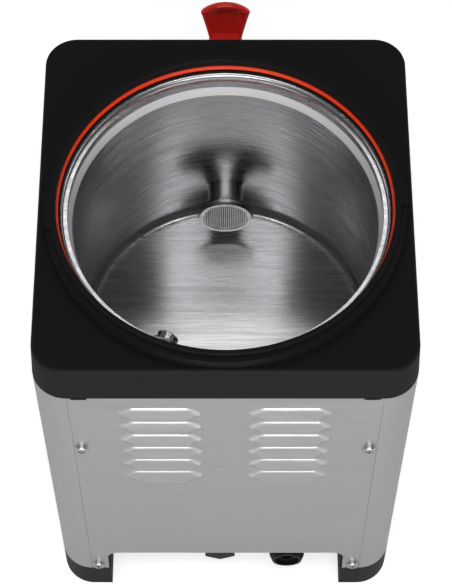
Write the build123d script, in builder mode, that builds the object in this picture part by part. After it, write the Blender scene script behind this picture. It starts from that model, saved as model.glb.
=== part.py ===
from build123d import *

import os
from math import atan, cos, degrees, radians, sin, sqrt

# Countertop slush machine with one vertical stainless tank let into its top.
# Millimetres.  +Z is up, the tap faces -Y, and the origin lies on the table
# under the middle of the whole machine, drip tray included.

os.makedirs("parts", exist_ok=True)


def save(piece, label):
    """Label a finished piece and write it as one STEP file."""
    piece.label = label
    export_step(piece, f"parts/{label}.step")


# ---------------------------------------------------------------- driving sizes
# Cabinet
body_width = 260.0
body_depth = 273.0
corner_radius = 24.0
sheet = 1.0
foot_proud = 2.0
plinth_top = 34.0
deck_top = 66.0
deck_thickness = 3.0
channel_half = 91.4
rail_wall = 4.0
frame_bottom = 335.0
frame_height = 35.0
frame_draw = 2.0
frame_wall = 4.0
frame_plate = 5.0
frame_edge_radius = 2.5
skirt_depth = 10.0
tray_reach = 105.0

# Rear panel
seam_half = 106.0
arch_half = 92.5
arch_top = 65.0
arch_radius = 9.0
rear_screw_x = 100.5
rear_screw_heights = (43.0, 257.5)
screw_head_r = 4.9
screw_head_h = 3.0
notch_x = 98.0
notch_width = 12.0
notch_height = 2.0
louvre_rows = 6
louvre_centre_x = 44.4
louvre_length = 58.3
louvre_height = 15.0
louvre_pitch = 20.0
louvre_first_top = 320.4
louvre_proud = 3.0

# Tank and the collar round its mouth
tank_setback = 128.4
tank_radius = 105.7
tank_floor = 197.5
tank_wall = 1.2
tank_floor_fillet = 6.0
ledge_radius = 108.3
ledge_z = 365.2
band_top = 358.0
band_bottom = 352.0
rim_radius = 110.9
rim_curl = 2.9
flange_radius = 118.4
flange_z = 369.0
collar_inner = 115.5
collar_outer = 119.0
collar_foot = 123.5
collar_height = 10.5
collar_foot_height = 7.6
lug_angle = 4.5
lug_sweep = 12.0
gasket_radius = 115.0
gasket_section = 2.0

# Outlet and probe
outlet_z = 228.0
outlet_outer = 13.0
outlet_bore = 11.0
outlet_reach = 15.4
strainer_depth = 11.6
strainer_radius = 21.5
disc_radius = 17.0
slot_pitch = 1.6
slot_width = 0.7
slot_count = 21
probe_angle = 24.0
probe_z = 344.0
probe_radius = 6.0
probe_reach = 20.0
probe_nut_radius = 9.5

# Tap
tap_reach = 44.0
paddle_setout = 46.2
tap_flange_length = 66.0
tap_flange_width = 38.0
tap_screw_x = 23.0
tap_screw_hole = 2.3
barrel_radius = 16.0
barrel_top = 266.0
chamber_bottom = 210.0
spout_radius = 11.0
spout_bore = 9.0
spout_bottom = 190.0
lever_z = 284.0
lever_arm = 14.0
lever_hub_radius = 6.0
lever_pin_radius = 3.0
link_pin_radius = 2.0
lever_travel = 30.0
paddle_top = 346.0
paddle_crown = 9.0
paddle_top_width = 35.0
paddle_neck_width = 25.0
paddle_neck_drop = 40.0
paddle_depth = 10.0

# Controls on the front
panel_width = 150.0
panel_height = 50.0
panel_z = 130.0
panel_proud = 3.0
rocker_x = -52.0
rocker_width = 12.0
rocker_height = 21.0
rocker_tilt = 8.0
knob_x = 50.0
knob_radius = 14.0
knob_height = 14.0
lamp_radius = 3.5

# Drip tray
tray_width = 170.0
tray_height = 26.0
tray_z = 32.0
tray_wall = 2.0
bracket_screw_x = 50.0
bracket_screw_z = 47.0
grille_thickness = 2.0

# Refrigeration
coil_tube = 4.0
coil_pitch = 12.0
coil_turns = 6
coil_bottom = 250.0
foam_thickness = 5.0
foam_top = 330.0
shelf_z = 172.0
compressor_radius = 48.0
compressor_x = 42.0
compressor_y = 88.0
compressor_top = 164.0
compressor_foot = 76.0
fan_size = 92.0
fan_depth = 25.0
fan_y = 60.0
condenser_x = -58.0
condenser_length = 170.0
condenser_depth = 24.0
condenser_height = 92.0
condenser_rows = 4
fin_pitch = 6.5
line_radius = 3.0

# Cable entry under the deck
gland_x = -48.7
gland_z = 42.0
plug_x = 4.4
bracket_setback = 25.0

# Clearances
slip = 0.2
running = 0.05
apart = 0.4

# ----------------------------------------------------------- worked-out places
rear_reach = max(screw_head_h, louvre_proud)
rear_y = (rear_reach + body_depth + tray_reach) / 2 - rear_reach
front_y = rear_y - body_depth
body_y = rear_y - body_depth / 2
tank_y = rear_y - tank_setback
frame_top = frame_bottom + frame_height
tap_y = front_y - tap_reach
pivot_y = tap_y - lever_arm
fit_inset = sheet + slip
rear_inset = 2 * sheet + slip
tank_outside = tank_radius + tank_wall
tank_front_y = tank_y - tank_radius


def across(y):
    """Upright plane facing the front, at depth y; sketches on it read X, Z."""
    return Plane.XZ.offset(-y)


def along(x):
    """Upright plane facing +X, at width x; sketches on it read Y, Z."""
    return Plane.YZ.offset(x)


def level(z):
    """Level plane at height z; sketches on it read X, Y."""
    return Plane.XY.offset(z)


def inner_outline(inset, rear):
    """Size, middle and corner of an outline set in from the sheet metal's outside."""
    depth = body_depth - inset - rear
    middle = body_y + (inset - rear) / 2
    return body_width - 2 * inset, depth, middle, corner_radius - inset


# ----------------------------------------------------------------- base frame
# One black moulding: two full-depth side rails, a front wall and the deck.
width, depth, middle, radius = inner_outline(fit_inset, rear_inset)
foot_radius = 12.0
foot_socket = 3.0
foot_x = (channel_half + body_width / 2) / 2
foot_inset_y = 30.0
deck_slots = 8
with BuildPart() as base_frame:
    with BuildSketch(level(foot_proud)):
        with Locations((0, body_y)):
            RectangleRounded(body_width, body_depth, corner_radius)
    extrude(amount=plinth_top - foot_proud)
    with BuildSketch(level(plinth_top)):
        with Locations((0, middle)):
            RectangleRounded(width, depth, radius)
    extrude(amount=deck_top - plinth_top)
    # open channel under the deck, closed at the front
    channel_top = deck_top - deck_thickness
    with BuildSketch(across(rear_y)):
        with Locations((0, channel_top - channel_half / 2)):
            RectangleRounded(2 * channel_half, channel_half, arch_radius - 1)
    extrude(amount=body_depth - rail_wall, mode=Mode.SUBTRACT)
    # hollow side rails
    trough_width = body_width / 2 - fit_inset - 3 - channel_half - rail_wall
    trough_x = channel_half + rail_wall + trough_width / 2
    trough_floor = 7.0
    with BuildSketch(level(trough_floor)):
        with Locations((-trough_x, body_y), (trough_x, body_y)):
            RectangleRounded(trough_width, body_depth - 6 * rail_wall, 10)
    extrude(amount=deck_top - trough_floor, mode=Mode.SUBTRACT)
    # cooling air comes in through the deck
    with BuildSketch(level(deck_top)):
        with Locations((-80, tank_y)):
            with GridLocations(1, 20, 1, deck_slots):
                SlotOverall(18, 6)
    extrude(amount=-deck_thickness, mode=Mode.SUBTRACT)
    # sockets for the rubber feet
    with BuildSketch(level(foot_proud)):
        with Locations((0, body_y)):
            with GridLocations(2 * foot_x, body_depth - 2 * foot_inset_y, 2, 2):
                Circle(foot_radius + slip)
    extrude(amount=foot_socket, mode=Mode.SUBTRACT)
    # pilot holes for the lower rear screws
    with BuildSketch(across(rear_y)):
        with Locations((-rear_screw_x, rear_screw_heights[0]), (rear_screw_x, rear_screw_heights[0])):
            Circle(2.5 + slip)
    extrude(amount=13, mode=Mode.SUBTRACT)
    # and for the tray bracket's screws
    with BuildSketch(across(front_y + 3 * rail_wall)):
        with Locations((-bracket_screw_x, bracket_screw_z), (bracket_screw_x, bracket_screw_z)):
            Circle(2 + slip)
    extrude(amount=3 * rail_wall, mode=Mode.SUBTRACT)
save(base_frame.part, "base_frame")

# ---------------------------------------------------------------- rubber feet
with BuildPart() as rubber_feet:
    with BuildSketch(level(0)):
        with Locations((0, body_y)):
            with GridLocations(2 * foot_x, body_depth - 2 * foot_inset_y, 2, 2):
                Circle(foot_radius)
    extrude(amount=foot_proud + foot_socket)
    chamfer(rubber_feet.edges().group_by(Axis.Z)[0], 0.8)
save(rubber_feet.part, "rubber_feet")

# ------------------------------------------------------------------ body wrap
# Front and both sides are one bent sheet; its rear flanges sit behind the panel.
flange_in = arch_half + 0.5
flange_out = seam_half + 4
wrap_height = frame_bottom - plinth_top
panel_screw_span_x = panel_width - 14
panel_screw_span_z = panel_height - 12
panel_hole_width = panel_width - 30
panel_hole_height = panel_height - 14
with BuildPart() as body_wrap:
    with BuildSketch(level(plinth_top)):
        with Locations((0, body_y)):
            RectangleRounded(body_width, body_depth, corner_radius)
            RectangleRounded(
                body_width - 2 * sheet, body_depth - 2 * sheet, corner_radius - sheet, mode=Mode.SUBTRACT
            )
        with Locations((0, rear_y)):
            Rectangle(2 * seam_half, 4 * sheet, mode=Mode.SUBTRACT)
        for side in (-1, 1):
            with Locations((side * (flange_in + flange_out) / 2, rear_y - 1.5 * sheet)):
                Rectangle(flange_out - flange_in, sheet)
    extrude(amount=wrap_height)
    # outlet, control panel and tray bracket openings in the front
    with BuildSketch(across(front_y + 2 * sheet)):
        with Locations((0, outlet_z)):
            Circle(outlet_outer + 1)
        with Locations((-tap_screw_x, outlet_z), (tap_screw_x, outlet_z)):
            Circle(2.5)
        with Locations((0, panel_z)):
            Rectangle(panel_hole_width, panel_hole_height)
        with Locations((0, panel_z)):
            with GridLocations(panel_screw_span_x, panel_screw_span_z, 2, 2):
                Circle(1.7)
        with Locations((-bracket_screw_x, bracket_screw_z), (bracket_screw_x, bracket_screw_z)):
            Circle(2.2)
    extrude(amount=4 * sheet, mode=Mode.SUBTRACT)
    # screw holes in the rear flanges
    with BuildSketch(across(rear_y)):
        with Locations([(side * rear_screw_x, z) for side in (-1, 1) for z in rear_screw_heights]):
            Circle(2.5 + slip)
        with Locations((-notch_x, frame_bottom), (notch_x, frame_bottom)):
            Rectangle(notch_width, 2 * notch_height)
    extrude(amount=3 * sheet, mode=Mode.SUBTRACT)
save(body_wrap.part, "body_wrap")

# ----------------------------------------------------------------- rear panel
louvre_rise = louvre_height / 2
louvre_flat = louvre_length / 2 - 8


def louvre_points(lift):
    """Corners of one louvre hood: flush along its top and its pointed ends, and
    louvre_proud out at its bottom edge, the whole set lift out from the sheet."""
    flush = [
        (-louvre_flat + 1.5, lift, louvre_height),
        (louvre_flat - 1.5, lift, louvre_height),
        (louvre_length / 2, lift, louvre_rise),
        (-louvre_length / 2, lift, louvre_rise),
        (-louvre_flat, lift, 0),
        (louvre_flat, lift, 0),
    ]
    lip = [(side * louvre_flat, lift + louvre_proud, 0) for side in (-1, 1)]
    return flush + lip


louvre_spots = [
    (side * louvre_centre_x, rear_y, louvre_first_top - louvre_height - row * louvre_pitch)
    for side in (-1, 1)
    for row in range(louvre_rows)
]
with BuildPart() as rear_panel:
    with BuildSketch(across(rear_y)):
        with Locations((0, (plinth_top + frame_bottom) / 2)):
            Rectangle(2 * (seam_half - slip), wrap_height)
        with Locations((0, arch_top - 50)):
            RectangleRounded(2 * arch_half, 100, arch_radius, mode=Mode.SUBTRACT)
        with Locations([(side * rear_screw_x, z) for side in (-1, 1) for z in rear_screw_heights]):
            Circle(2.5 + slip, mode=Mode.SUBTRACT)
        with Locations((-notch_x, frame_bottom), (notch_x, frame_bottom)):
            Rectangle(notch_width, 2 * notch_height, mode=Mode.SUBTRACT)
    extrude(amount=sheet)
    with Locations(louvre_spots):
        ConvexPolyhedron(louvre_points(0))
    with Locations(louvre_spots):
        ConvexPolyhedron(louvre_points(-sheet), mode=Mode.SUBTRACT)
save(rear_panel.part, "rear_panel")

# ---------------------------------------------------------------- rear screws
screw_length = 12.0
recess_depth = 1.6
with BuildPart() as rear_screws:
    with BuildSketch(across(rear_y)):
        with Locations([(side * rear_screw_x, z) for side in (-1, 1) for z in rear_screw_heights]):
            Circle(screw_head_r)
    extrude(amount=-screw_head_h)
    fillet(rear_screws.edges().group_by(Axis.Y)[-1], 1.4)
    with BuildSketch(across(rear_y)):
        with Locations([(side * rear_screw_x, z) for side in (-1, 1) for z in rear_screw_heights]):
            Circle(2.5)
    extrude(amount=screw_length)
    with BuildSketch(across(rear_y + screw_head_h)):
        with Locations([(side * rear_screw_x, z) for side in (-1, 1) for z in rear_screw_heights]):
            Rectangle(5.2, 1.1)
            Rectangle(1.1, 5.2)
    extrude(amount=recess_depth, mode=Mode.SUBTRACT)
save(rear_screws.part, "rear_screws")

# ------------------------------------------------------------------ top frame
# Moulded cap with a slight inward draw, hollow below, that carries the tank.
draw_angle = degrees(atan(frame_draw / frame_height))
lip_radius = rim_radius + tank_wall + 2.7
recess_z = flange_z - tank_wall
collar_screw_r = (collar_foot + flange_radius + 0.5) / 2
skirt_width = 3.0
width, depth, middle, radius = inner_outline(fit_inset, rear_inset)
with BuildPart() as top_frame:
    with BuildSketch(level(frame_bottom)):
        with Locations((0, body_y)):
            RectangleRounded(body_width, body_depth, corner_radius)
    extrude(amount=frame_height, taper=draw_angle)
    fillet(top_frame.edges().group_by(Axis.Z)[-1], frame_edge_radius)
    with BuildSketch(level(frame_bottom)):
        with Locations((0, body_y)):
            RectangleRounded(
                body_width - 2 * frame_wall, body_depth - 2 * frame_wall, corner_radius - frame_wall
            )
    extrude(amount=frame_height - frame_plate, taper=draw_angle, mode=Mode.SUBTRACT)
    # skirt that drops inside the sheet metal
    with BuildSketch(level(frame_bottom)):
        with Locations((0, middle)):
            RectangleRounded(width, depth, radius)
            RectangleRounded(
                width - 2 * skirt_width, depth - 2 * skirt_width, radius - skirt_width, mode=Mode.SUBTRACT
            )
    extrude(amount=-skirt_depth)
    # tabs that show in the notches of the rear panel
    with BuildSketch(across(rear_y)):
        with Locations((-notch_x, frame_bottom - 1), (notch_x, frame_bottom - 1)):
            Rectangle(notch_width - 1, notch_height)
    extrude(amount=rear_inset + 0.5)
    # tank opening, with a recess for the tank's flange
    with BuildSketch(level(frame_top)):
        with Locations((0, tank_y)):
            Circle(flange_radius + 0.5)
    extrude(amount=recess_z - frame_top, mode=Mode.SUBTRACT)
    with BuildSketch(level(frame_top)):
        with Locations((0, tank_y)):
            Circle(lip_radius)
    extrude(amount=-frame_height, mode=Mode.SUBTRACT)
    # holes for the screws that come up into the collar
    with BuildSketch(level(frame_top)):
        with Locations((0, tank_y)):
            with PolarLocations(collar_screw_r, 4, start_angle=45):
                Circle(1.5 + slip)
    extrude(amount=-2 * frame_plate, mode=Mode.SUBTRACT)
save(top_frame.part, "top_frame")

# -------------------------------------------------------------- bayonet collar
with BuildPart() as bayonet_collar:
    with BuildSketch(across(tank_y)):
        with BuildLine():
            Polyline(
                (collar_inner, flange_z + running),
                (flange_radius + slip, flange_z + running),
                (flange_radius + slip, frame_top),
                (collar_foot, frame_top),
                (collar_foot, frame_top + collar_foot_height),
                (collar_outer, frame_top + collar_foot_height),
                (collar_outer, frame_top + collar_height),
                (collar_inner, frame_top + collar_height),
                close=True,
            )
        make_face()
        with Locations((gasket_radius, flange_z + gasket_section + running)):
            Circle(gasket_section + running, mode=Mode.SUBTRACT)
    revolve(axis=Axis((0, tank_y, 0), (0, 0, 1)))
    fillet(bayonet_collar.edges().group_by(Axis.Z)[-1], 0.6)
    # two lugs opposite each other
    for turn in (lug_angle, lug_angle + 180):
        with BuildSketch(level(frame_top + collar_foot_height)):
            with BuildLine():
                lug_start = turn - lug_sweep / 2
                inside = CenterArc((0, tank_y), collar_outer - 0.5, lug_start, lug_sweep)
                outside = CenterArc((0, tank_y), collar_foot, lug_start, lug_sweep)
                Line(inside @ 0, outside @ 0)
                Line(inside @ 1, outside @ 1)
            make_face()
        extrude(amount=collar_height - collar_foot_height)
    with BuildSketch(level(frame_top)):
        with Locations((0, tank_y)):
            with PolarLocations(collar_screw_r, 4, start_angle=45):
                Circle(1.5 + slip)
    extrude(amount=collar_foot_height - 1.5, mode=Mode.SUBTRACT)
save(bayonet_collar.part, "bayonet_collar")

# -------------------------------------------------------------- collar screws
with BuildPart() as collar_screws:
    with BuildSketch(level(frame_top - frame_plate)):
        with Locations((0, tank_y)):
            with PolarLocations(collar_screw_r, 4, start_angle=45):
                Circle(3)
    extrude(amount=-2)
    with BuildSketch(level(frame_top - frame_plate)):
        with Locations((0, tank_y)):
            with PolarLocations(collar_screw_r, 4, start_angle=45):
                Circle(1.5)
    extrude(amount=frame_plate + collar_foot_height - 2)
save(collar_screws.part, "collar_screws")

# ----------------------------------------------------------------- lid gasket
with BuildPart() as lid_gasket:
    with Locations((0, tank_y, flange_z + gasket_section + running)):
        Torus(gasket_radius, gasket_section)
save(lid_gasket.part, "lid_gasket")

# ----------------------------------------------------------------------- tank
probe_dir = Vector(sin(radians(probe_angle)), cos(radians(probe_angle)), 0)
probe_foot = Vector(0, tank_y, probe_z) + probe_dir * tank_radius
with BuildPart() as tank:
    with BuildSketch(across(tank_y)):
        with BuildLine():
            floor_start = tank_radius - tank_floor_fillet
            Polyline((0, tank_floor), (floor_start, tank_floor))
            RadiusArc(
                (floor_start, tank_floor), (tank_radius, tank_floor + tank_floor_fillet), -tank_floor_fillet
            )
            Polyline(
                (tank_radius, tank_floor + tank_floor_fillet),
                (tank_radius, band_bottom),
                (ledge_radius, band_top),
                (ledge_radius, ledge_z),
                (rim_radius, ledge_z),
                (rim_radius, flange_z - rim_curl),
            )
            RadiusArc((rim_radius, flange_z - rim_curl), (rim_radius + rim_curl, flange_z), rim_curl)
            Line((rim_radius + rim_curl, flange_z), (flange_radius, flange_z))
            offset(amount=tank_wall, side=Side.RIGHT)
        make_face()
    revolve(axis=Axis((0, tank_y, 0), (0, 0, 1)))
    with BuildSketch(across(tank_y)):
        with Locations((0, outlet_z)):
            Circle(outlet_outer)
    extrude(amount=tank_outside + 10, mode=Mode.SUBTRACT)
    with BuildSketch(Plane(origin=probe_foot, x_dir=(0, 0, 1), z_dir=probe_dir)):
        Circle(5)
    extrude(amount=6, both=True, mode=Mode.SUBTRACT)
save(tank.part, "tank")

# ------------------------------------------------------- outlet tube and strainer
neck_end = tank_front_y + outlet_reach
strainer_end = neck_end + strainer_depth
tube_start = tap_y + barrel_radius
outlet_axis = Axis((0, 0, outlet_z), (0, 1, 0))
with BuildPart() as outlet_tube:
    with BuildSketch(across(neck_end)):
        with Locations((0, outlet_z)):
            Circle(outlet_outer)
            Circle(outlet_bore, mode=Mode.SUBTRACT)
    extrude(amount=neck_end - tube_start)
save(outlet_tube.part, "outlet_tube")

ring_radius = 15.2
with BuildPart() as strainer_cup:
    with BuildSketch(along(0)):
        with BuildLine():
            Polyline(
                (neck_end, outlet_z + outlet_bore),
                (neck_end, outlet_z + ring_radius - 0.8),
                (neck_end + 0.8, outlet_z + ring_radius),
                (neck_end + 2.0, outlet_z + ring_radius),
                (neck_end + 2.4, outlet_z + ring_radius - 1.2),
                (neck_end + 3.2, outlet_z + ring_radius - 1.2),
                (neck_end + 3.6, outlet_z + ring_radius),
                (neck_end + 6.0, outlet_z + ring_radius + 2.2),
                (neck_end + 7.0, outlet_z + strainer_radius - 1.5),
                (neck_end + 8.2, outlet_z + strainer_radius),
                (strainer_end - 1.4, outlet_z + strainer_radius),
                (strainer_end, outlet_z + strainer_radius - 1.8),
                (strainer_end, outlet_z + disc_radius + slip),
                (strainer_end - 1.6, outlet_z + disc_radius + slip),
                (strainer_end - 1.6, outlet_z + disc_radius - 1.2),
                (neck_end + 5.0, outlet_z + outlet_bore),
                close=True,
            )
        make_face()
    revolve(axis=outlet_axis)
save(strainer_cup.part, "strainer_cup")

slot_field = disc_radius - 0.7
with BuildPart() as strainer_disc:
    with BuildSketch(across(strainer_end - 0.4)):
        with Locations((0, outlet_z)):
            Circle(disc_radius)
        for index in range(slot_count):
            slot_x = (index - (slot_count - 1) / 2) * slot_pitch
            with Locations((slot_x, outlet_z)):
                Rectangle(slot_width, 2 * sqrt(slot_field**2 - slot_x**2), mode=Mode.SUBTRACT)
    extrude(amount=1.2)
save(strainer_disc.part, "strainer_disc")

# ------------------------------------------------------------ probe in the tank
probe_plane = Plane(origin=probe_foot, x_dir=-probe_dir, z_dir=Vector(0, 0, 1).cross(-probe_dir))
probe_axis = Axis(probe_foot, -probe_dir)
stem_radius = 4.8
with BuildPart() as temperature_probe:
    with BuildSketch(probe_plane):
        with BuildLine():
            Polyline(
                (-14, 0),
                (-14, stem_radius),
                (5.5, stem_radius),
                (5.5, probe_radius),
                (9, probe_radius),
                (9.6, probe_radius - 1),
                (11, probe_radius - 1),
                (11.6, probe_radius),
                (13.4, probe_radius),
                (14, probe_radius - 1),
                (15.4, probe_radius - 1),
                (16, probe_radius),
                (probe_reach - 1.2, probe_radius),
                (probe_reach, probe_radius - 1.2),
                (probe_reach, 0),
                close=True,
            )
        make_face()
    revolve(axis=probe_axis)
save(temperature_probe.part, "temperature_probe")

nut_seat = tank_radius - sqrt(tank_radius**2 - probe_nut_radius**2) + slip / 2
with BuildPart() as probe_nut:
    with BuildSketch(probe_plane):
        with BuildLine():
            Polyline(
                (nut_seat, stem_radius + slip),
                (nut_seat, probe_nut_radius),
                (1.5, probe_nut_radius),
                (4.2, probe_nut_radius - 2.2),
                (5.4, probe_nut_radius - 3.6),
                (5.4, stem_radius + slip),
                close=True,
            )
        make_face()
    revolve(axis=probe_axis)
    nut_back = probe_foot + probe_dir * (tank_wall + 0.5)
    with BuildSketch(Plane(origin=nut_back, x_dir=(0, 0, 1), z_dir=probe_dir)):
        RegularPolygon(8, 6)
        Circle(stem_radius + slip, mode=Mode.SUBTRACT)
    extrude(amount=4.5)
save(probe_nut.part, "probe_nut")

# ------------------------------------------------------------------- tap body
ear_gap = 7.2
ear_width = 4.0
flange_near = front_y - 2.0
tap_flange = 4.0
with BuildPart() as tap_body:
    with BuildSketch(across(tap_y)):
        with BuildLine():
            Polyline(
                (0, spout_bottom),
                (spout_radius, spout_bottom),
                (spout_radius, chamber_bottom - 6),
                (barrel_radius, chamber_bottom + 2),
                (barrel_radius, barrel_top),
                (0, barrel_top),
                close=True,
            )
        make_face()
    revolve(axis=Axis((0, tap_y, 0), (0, 0, 1)))
    # inlet sleeve and the flange against the cabinet
    with BuildSketch(across(flange_near)):
        with Locations((0, outlet_z)):
            Circle(outlet_outer + 3.5)
    extrude(amount=flange_near - tap_y)
    with BuildSketch(across(flange_near)):
        with Locations((0, outlet_z)):
            SlotOverall(tap_flange_length, tap_flange_width)
    extrude(amount=tap_flange)
    # ears that carry the lever
    for side in (-1, 1):
        with BuildSketch(along(side * (ear_gap + ear_width / 2))):
            with Locations((pivot_y, lever_z)):
                Circle(7)
            with BuildLine():
                Polyline(
                    (pivot_y - 7, lever_z),
                    (tap_y - 8, barrel_top - 22),
                    (tap_y + 6, barrel_top - 12),
                    (tap_y + 6, barrel_top),
                    (pivot_y + 7, lever_z),
                    close=True,
                )
            make_face()
        extrude(amount=ear_width / 2, both=True)
    # bores: chamber, spout, inlet, seat for the outlet tube, lever pin, screws
    with BuildSketch(level(chamber_bottom)):
        with Locations((0, tap_y)):
            Circle(outlet_bore)
    extrude(amount=barrel_top - chamber_bottom + 20, mode=Mode.SUBTRACT)
    with BuildSketch(level(spout_bottom)):
        with Locations((0, tap_y)):
            Circle(spout_bore)
    extrude(amount=chamber_bottom - spout_bottom, mode=Mode.SUBTRACT)
    with BuildSketch(across(flange_near)):
        with Locations((0, outlet_z)):
            Circle(spout_bore)
    extrude(amount=flange_near - tap_y, mode=Mode.SUBTRACT)
    with BuildSketch(across(flange_near)):
        with Locations((0, outlet_z)):
            Circle(outlet_outer + running)
    extrude(amount=flange_near - tube_start, mode=Mode.SUBTRACT)
    with BuildSketch(along(0)):
        with Locations((pivot_y, lever_z)):
            Circle(lever_pin_radius + slip / 2)
    extrude(amount=20, both=True, mode=Mode.SUBTRACT)
    with BuildSketch(across(flange_near)):
        with Locations((-tap_screw_x, outlet_z), (tap_screw_x, outlet_z)):
            Circle(tap_screw_hole)
    extrude(amount=tap_flange, mode=Mode.SUBTRACT)
save(tap_body.part, "tap_body")

with BuildPart() as tap_gasket:
    with BuildSketch(across(front_y)):
        with Locations((0, outlet_z)):
            SlotOverall(tap_flange_length, tap_flange_width)
            Circle(outlet_outer + slip, mode=Mode.SUBTRACT)
        with Locations((-tap_screw_x, outlet_z), (tap_screw_x, outlet_z)):
            Circle(tap_screw_hole, mode=Mode.SUBTRACT)
    extrude(amount=front_y - flange_near)
save(tap_gasket.part, "tap_gasket")

with BuildPart() as tap_screws:
    with BuildSketch(across(flange_near - tap_flange)):
        with Locations((-tap_screw_x, outlet_z), (tap_screw_x, outlet_z)):
            Circle(4.2)
    extrude(amount=2.6)
    fillet(tap_screws.edges().group_by(Axis.Y)[0], 1.0)
    with BuildSketch(across(flange_near - tap_flange)):
        with Locations((-tap_screw_x, outlet_z), (tap_screw_x, outlet_z)):
            Circle(2.1)
    extrude(amount=-14)
save(tap_screws.part, "tap_screws")

# ----------------------------------------------------- piston, seals, spring, cap
head_top = 250.0
head_height = 10.0
plug_bottom = 206.0
plug_top = 209.5
stem_r = 4.8
tongue_half = 2.9
tongue_foot = 270.0
tongue_top = 290.0
seal_section = 1.0
seal_radius = outlet_bore - running - seal_section
seal_heights = (head_top - 7.2, head_top - 2.8)
pin_play = 0.35
slot_length = 7.4
slot_shift = lever_arm * (1 - cos(radians(lever_travel))) / 2
with BuildPart() as tap_piston:
    with BuildSketch(across(tap_y)):
        with BuildLine():
            Polyline(
                (0, plug_bottom),
                (spout_bore - 1.5, plug_bottom),
                (spout_bore - running, plug_bottom + 1.5),
                (spout_bore - running, plug_top),
                (stem_r, plug_top),
                (stem_r, head_top - head_height),
                (outlet_bore - running, head_top - head_height),
                (outlet_bore - running, head_top),
                (stem_r, head_top),
                (stem_r, tongue_foot + 1),
                (0, tongue_foot + 1),
                close=True,
            )
        make_face()
        for seal_z in seal_heights:
            with Locations((outlet_bore, seal_z)):
                Rectangle(4 * seal_section + 0.2, 2 * seal_section + 0.1, mode=Mode.SUBTRACT)
    revolve(axis=Axis((0, tap_y, 0), (0, 0, 1)))
    # flat tongue with the slot that the lever's pin slides in
    with BuildSketch(along(0)):
        with Locations((tap_y - 1, (tongue_foot + tongue_top) / 2)):
            RectangleRounded(11.5, tongue_top - tongue_foot, 2)
        with Locations((tap_y - slot_shift, lever_z)):
            SlotOverall(slot_length, 2 * (link_pin_radius + pin_play), mode=Mode.SUBTRACT)
    extrude(amount=tongue_half, both=True)
save(tap_piston.part, "tap_piston")

with BuildPart() as piston_seals:
    with Locations([(0, tap_y, seal_z) for seal_z in seal_heights]):
        Torus(seal_radius, seal_section)
save(piston_seals.part, "piston_seals")

cap_bottom = 262.0
with BuildPart() as tap_cap:
    with BuildSketch(level(cap_bottom)):
        with Locations((0, tap_y)):
            Circle(outlet_bore - running)
            Circle(stem_r + slip, mode=Mode.SUBTRACT)
    extrude(amount=barrel_top - cap_bottom)
save(tap_cap.part, "tap_cap")

spring_wire = 0.5
spring_radius = 7.6
spring_length = cap_bottom - head_top - 2 * spring_wire - 0.1
with BuildPart() as tap_spring:
    with BuildLine():
        coil_line = Helix(
            pitch=spring_length / 4,
            height=spring_length,
            radius=spring_radius,
            center=(0, tap_y, head_top + spring_wire + running),
        )
    with BuildSketch(Plane(origin=coil_line @ 0, z_dir=coil_line % 0)):
        Circle(spring_wire)
    sweep(path=coil_line)
save(tap_spring.part, "tap_spring")

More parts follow.
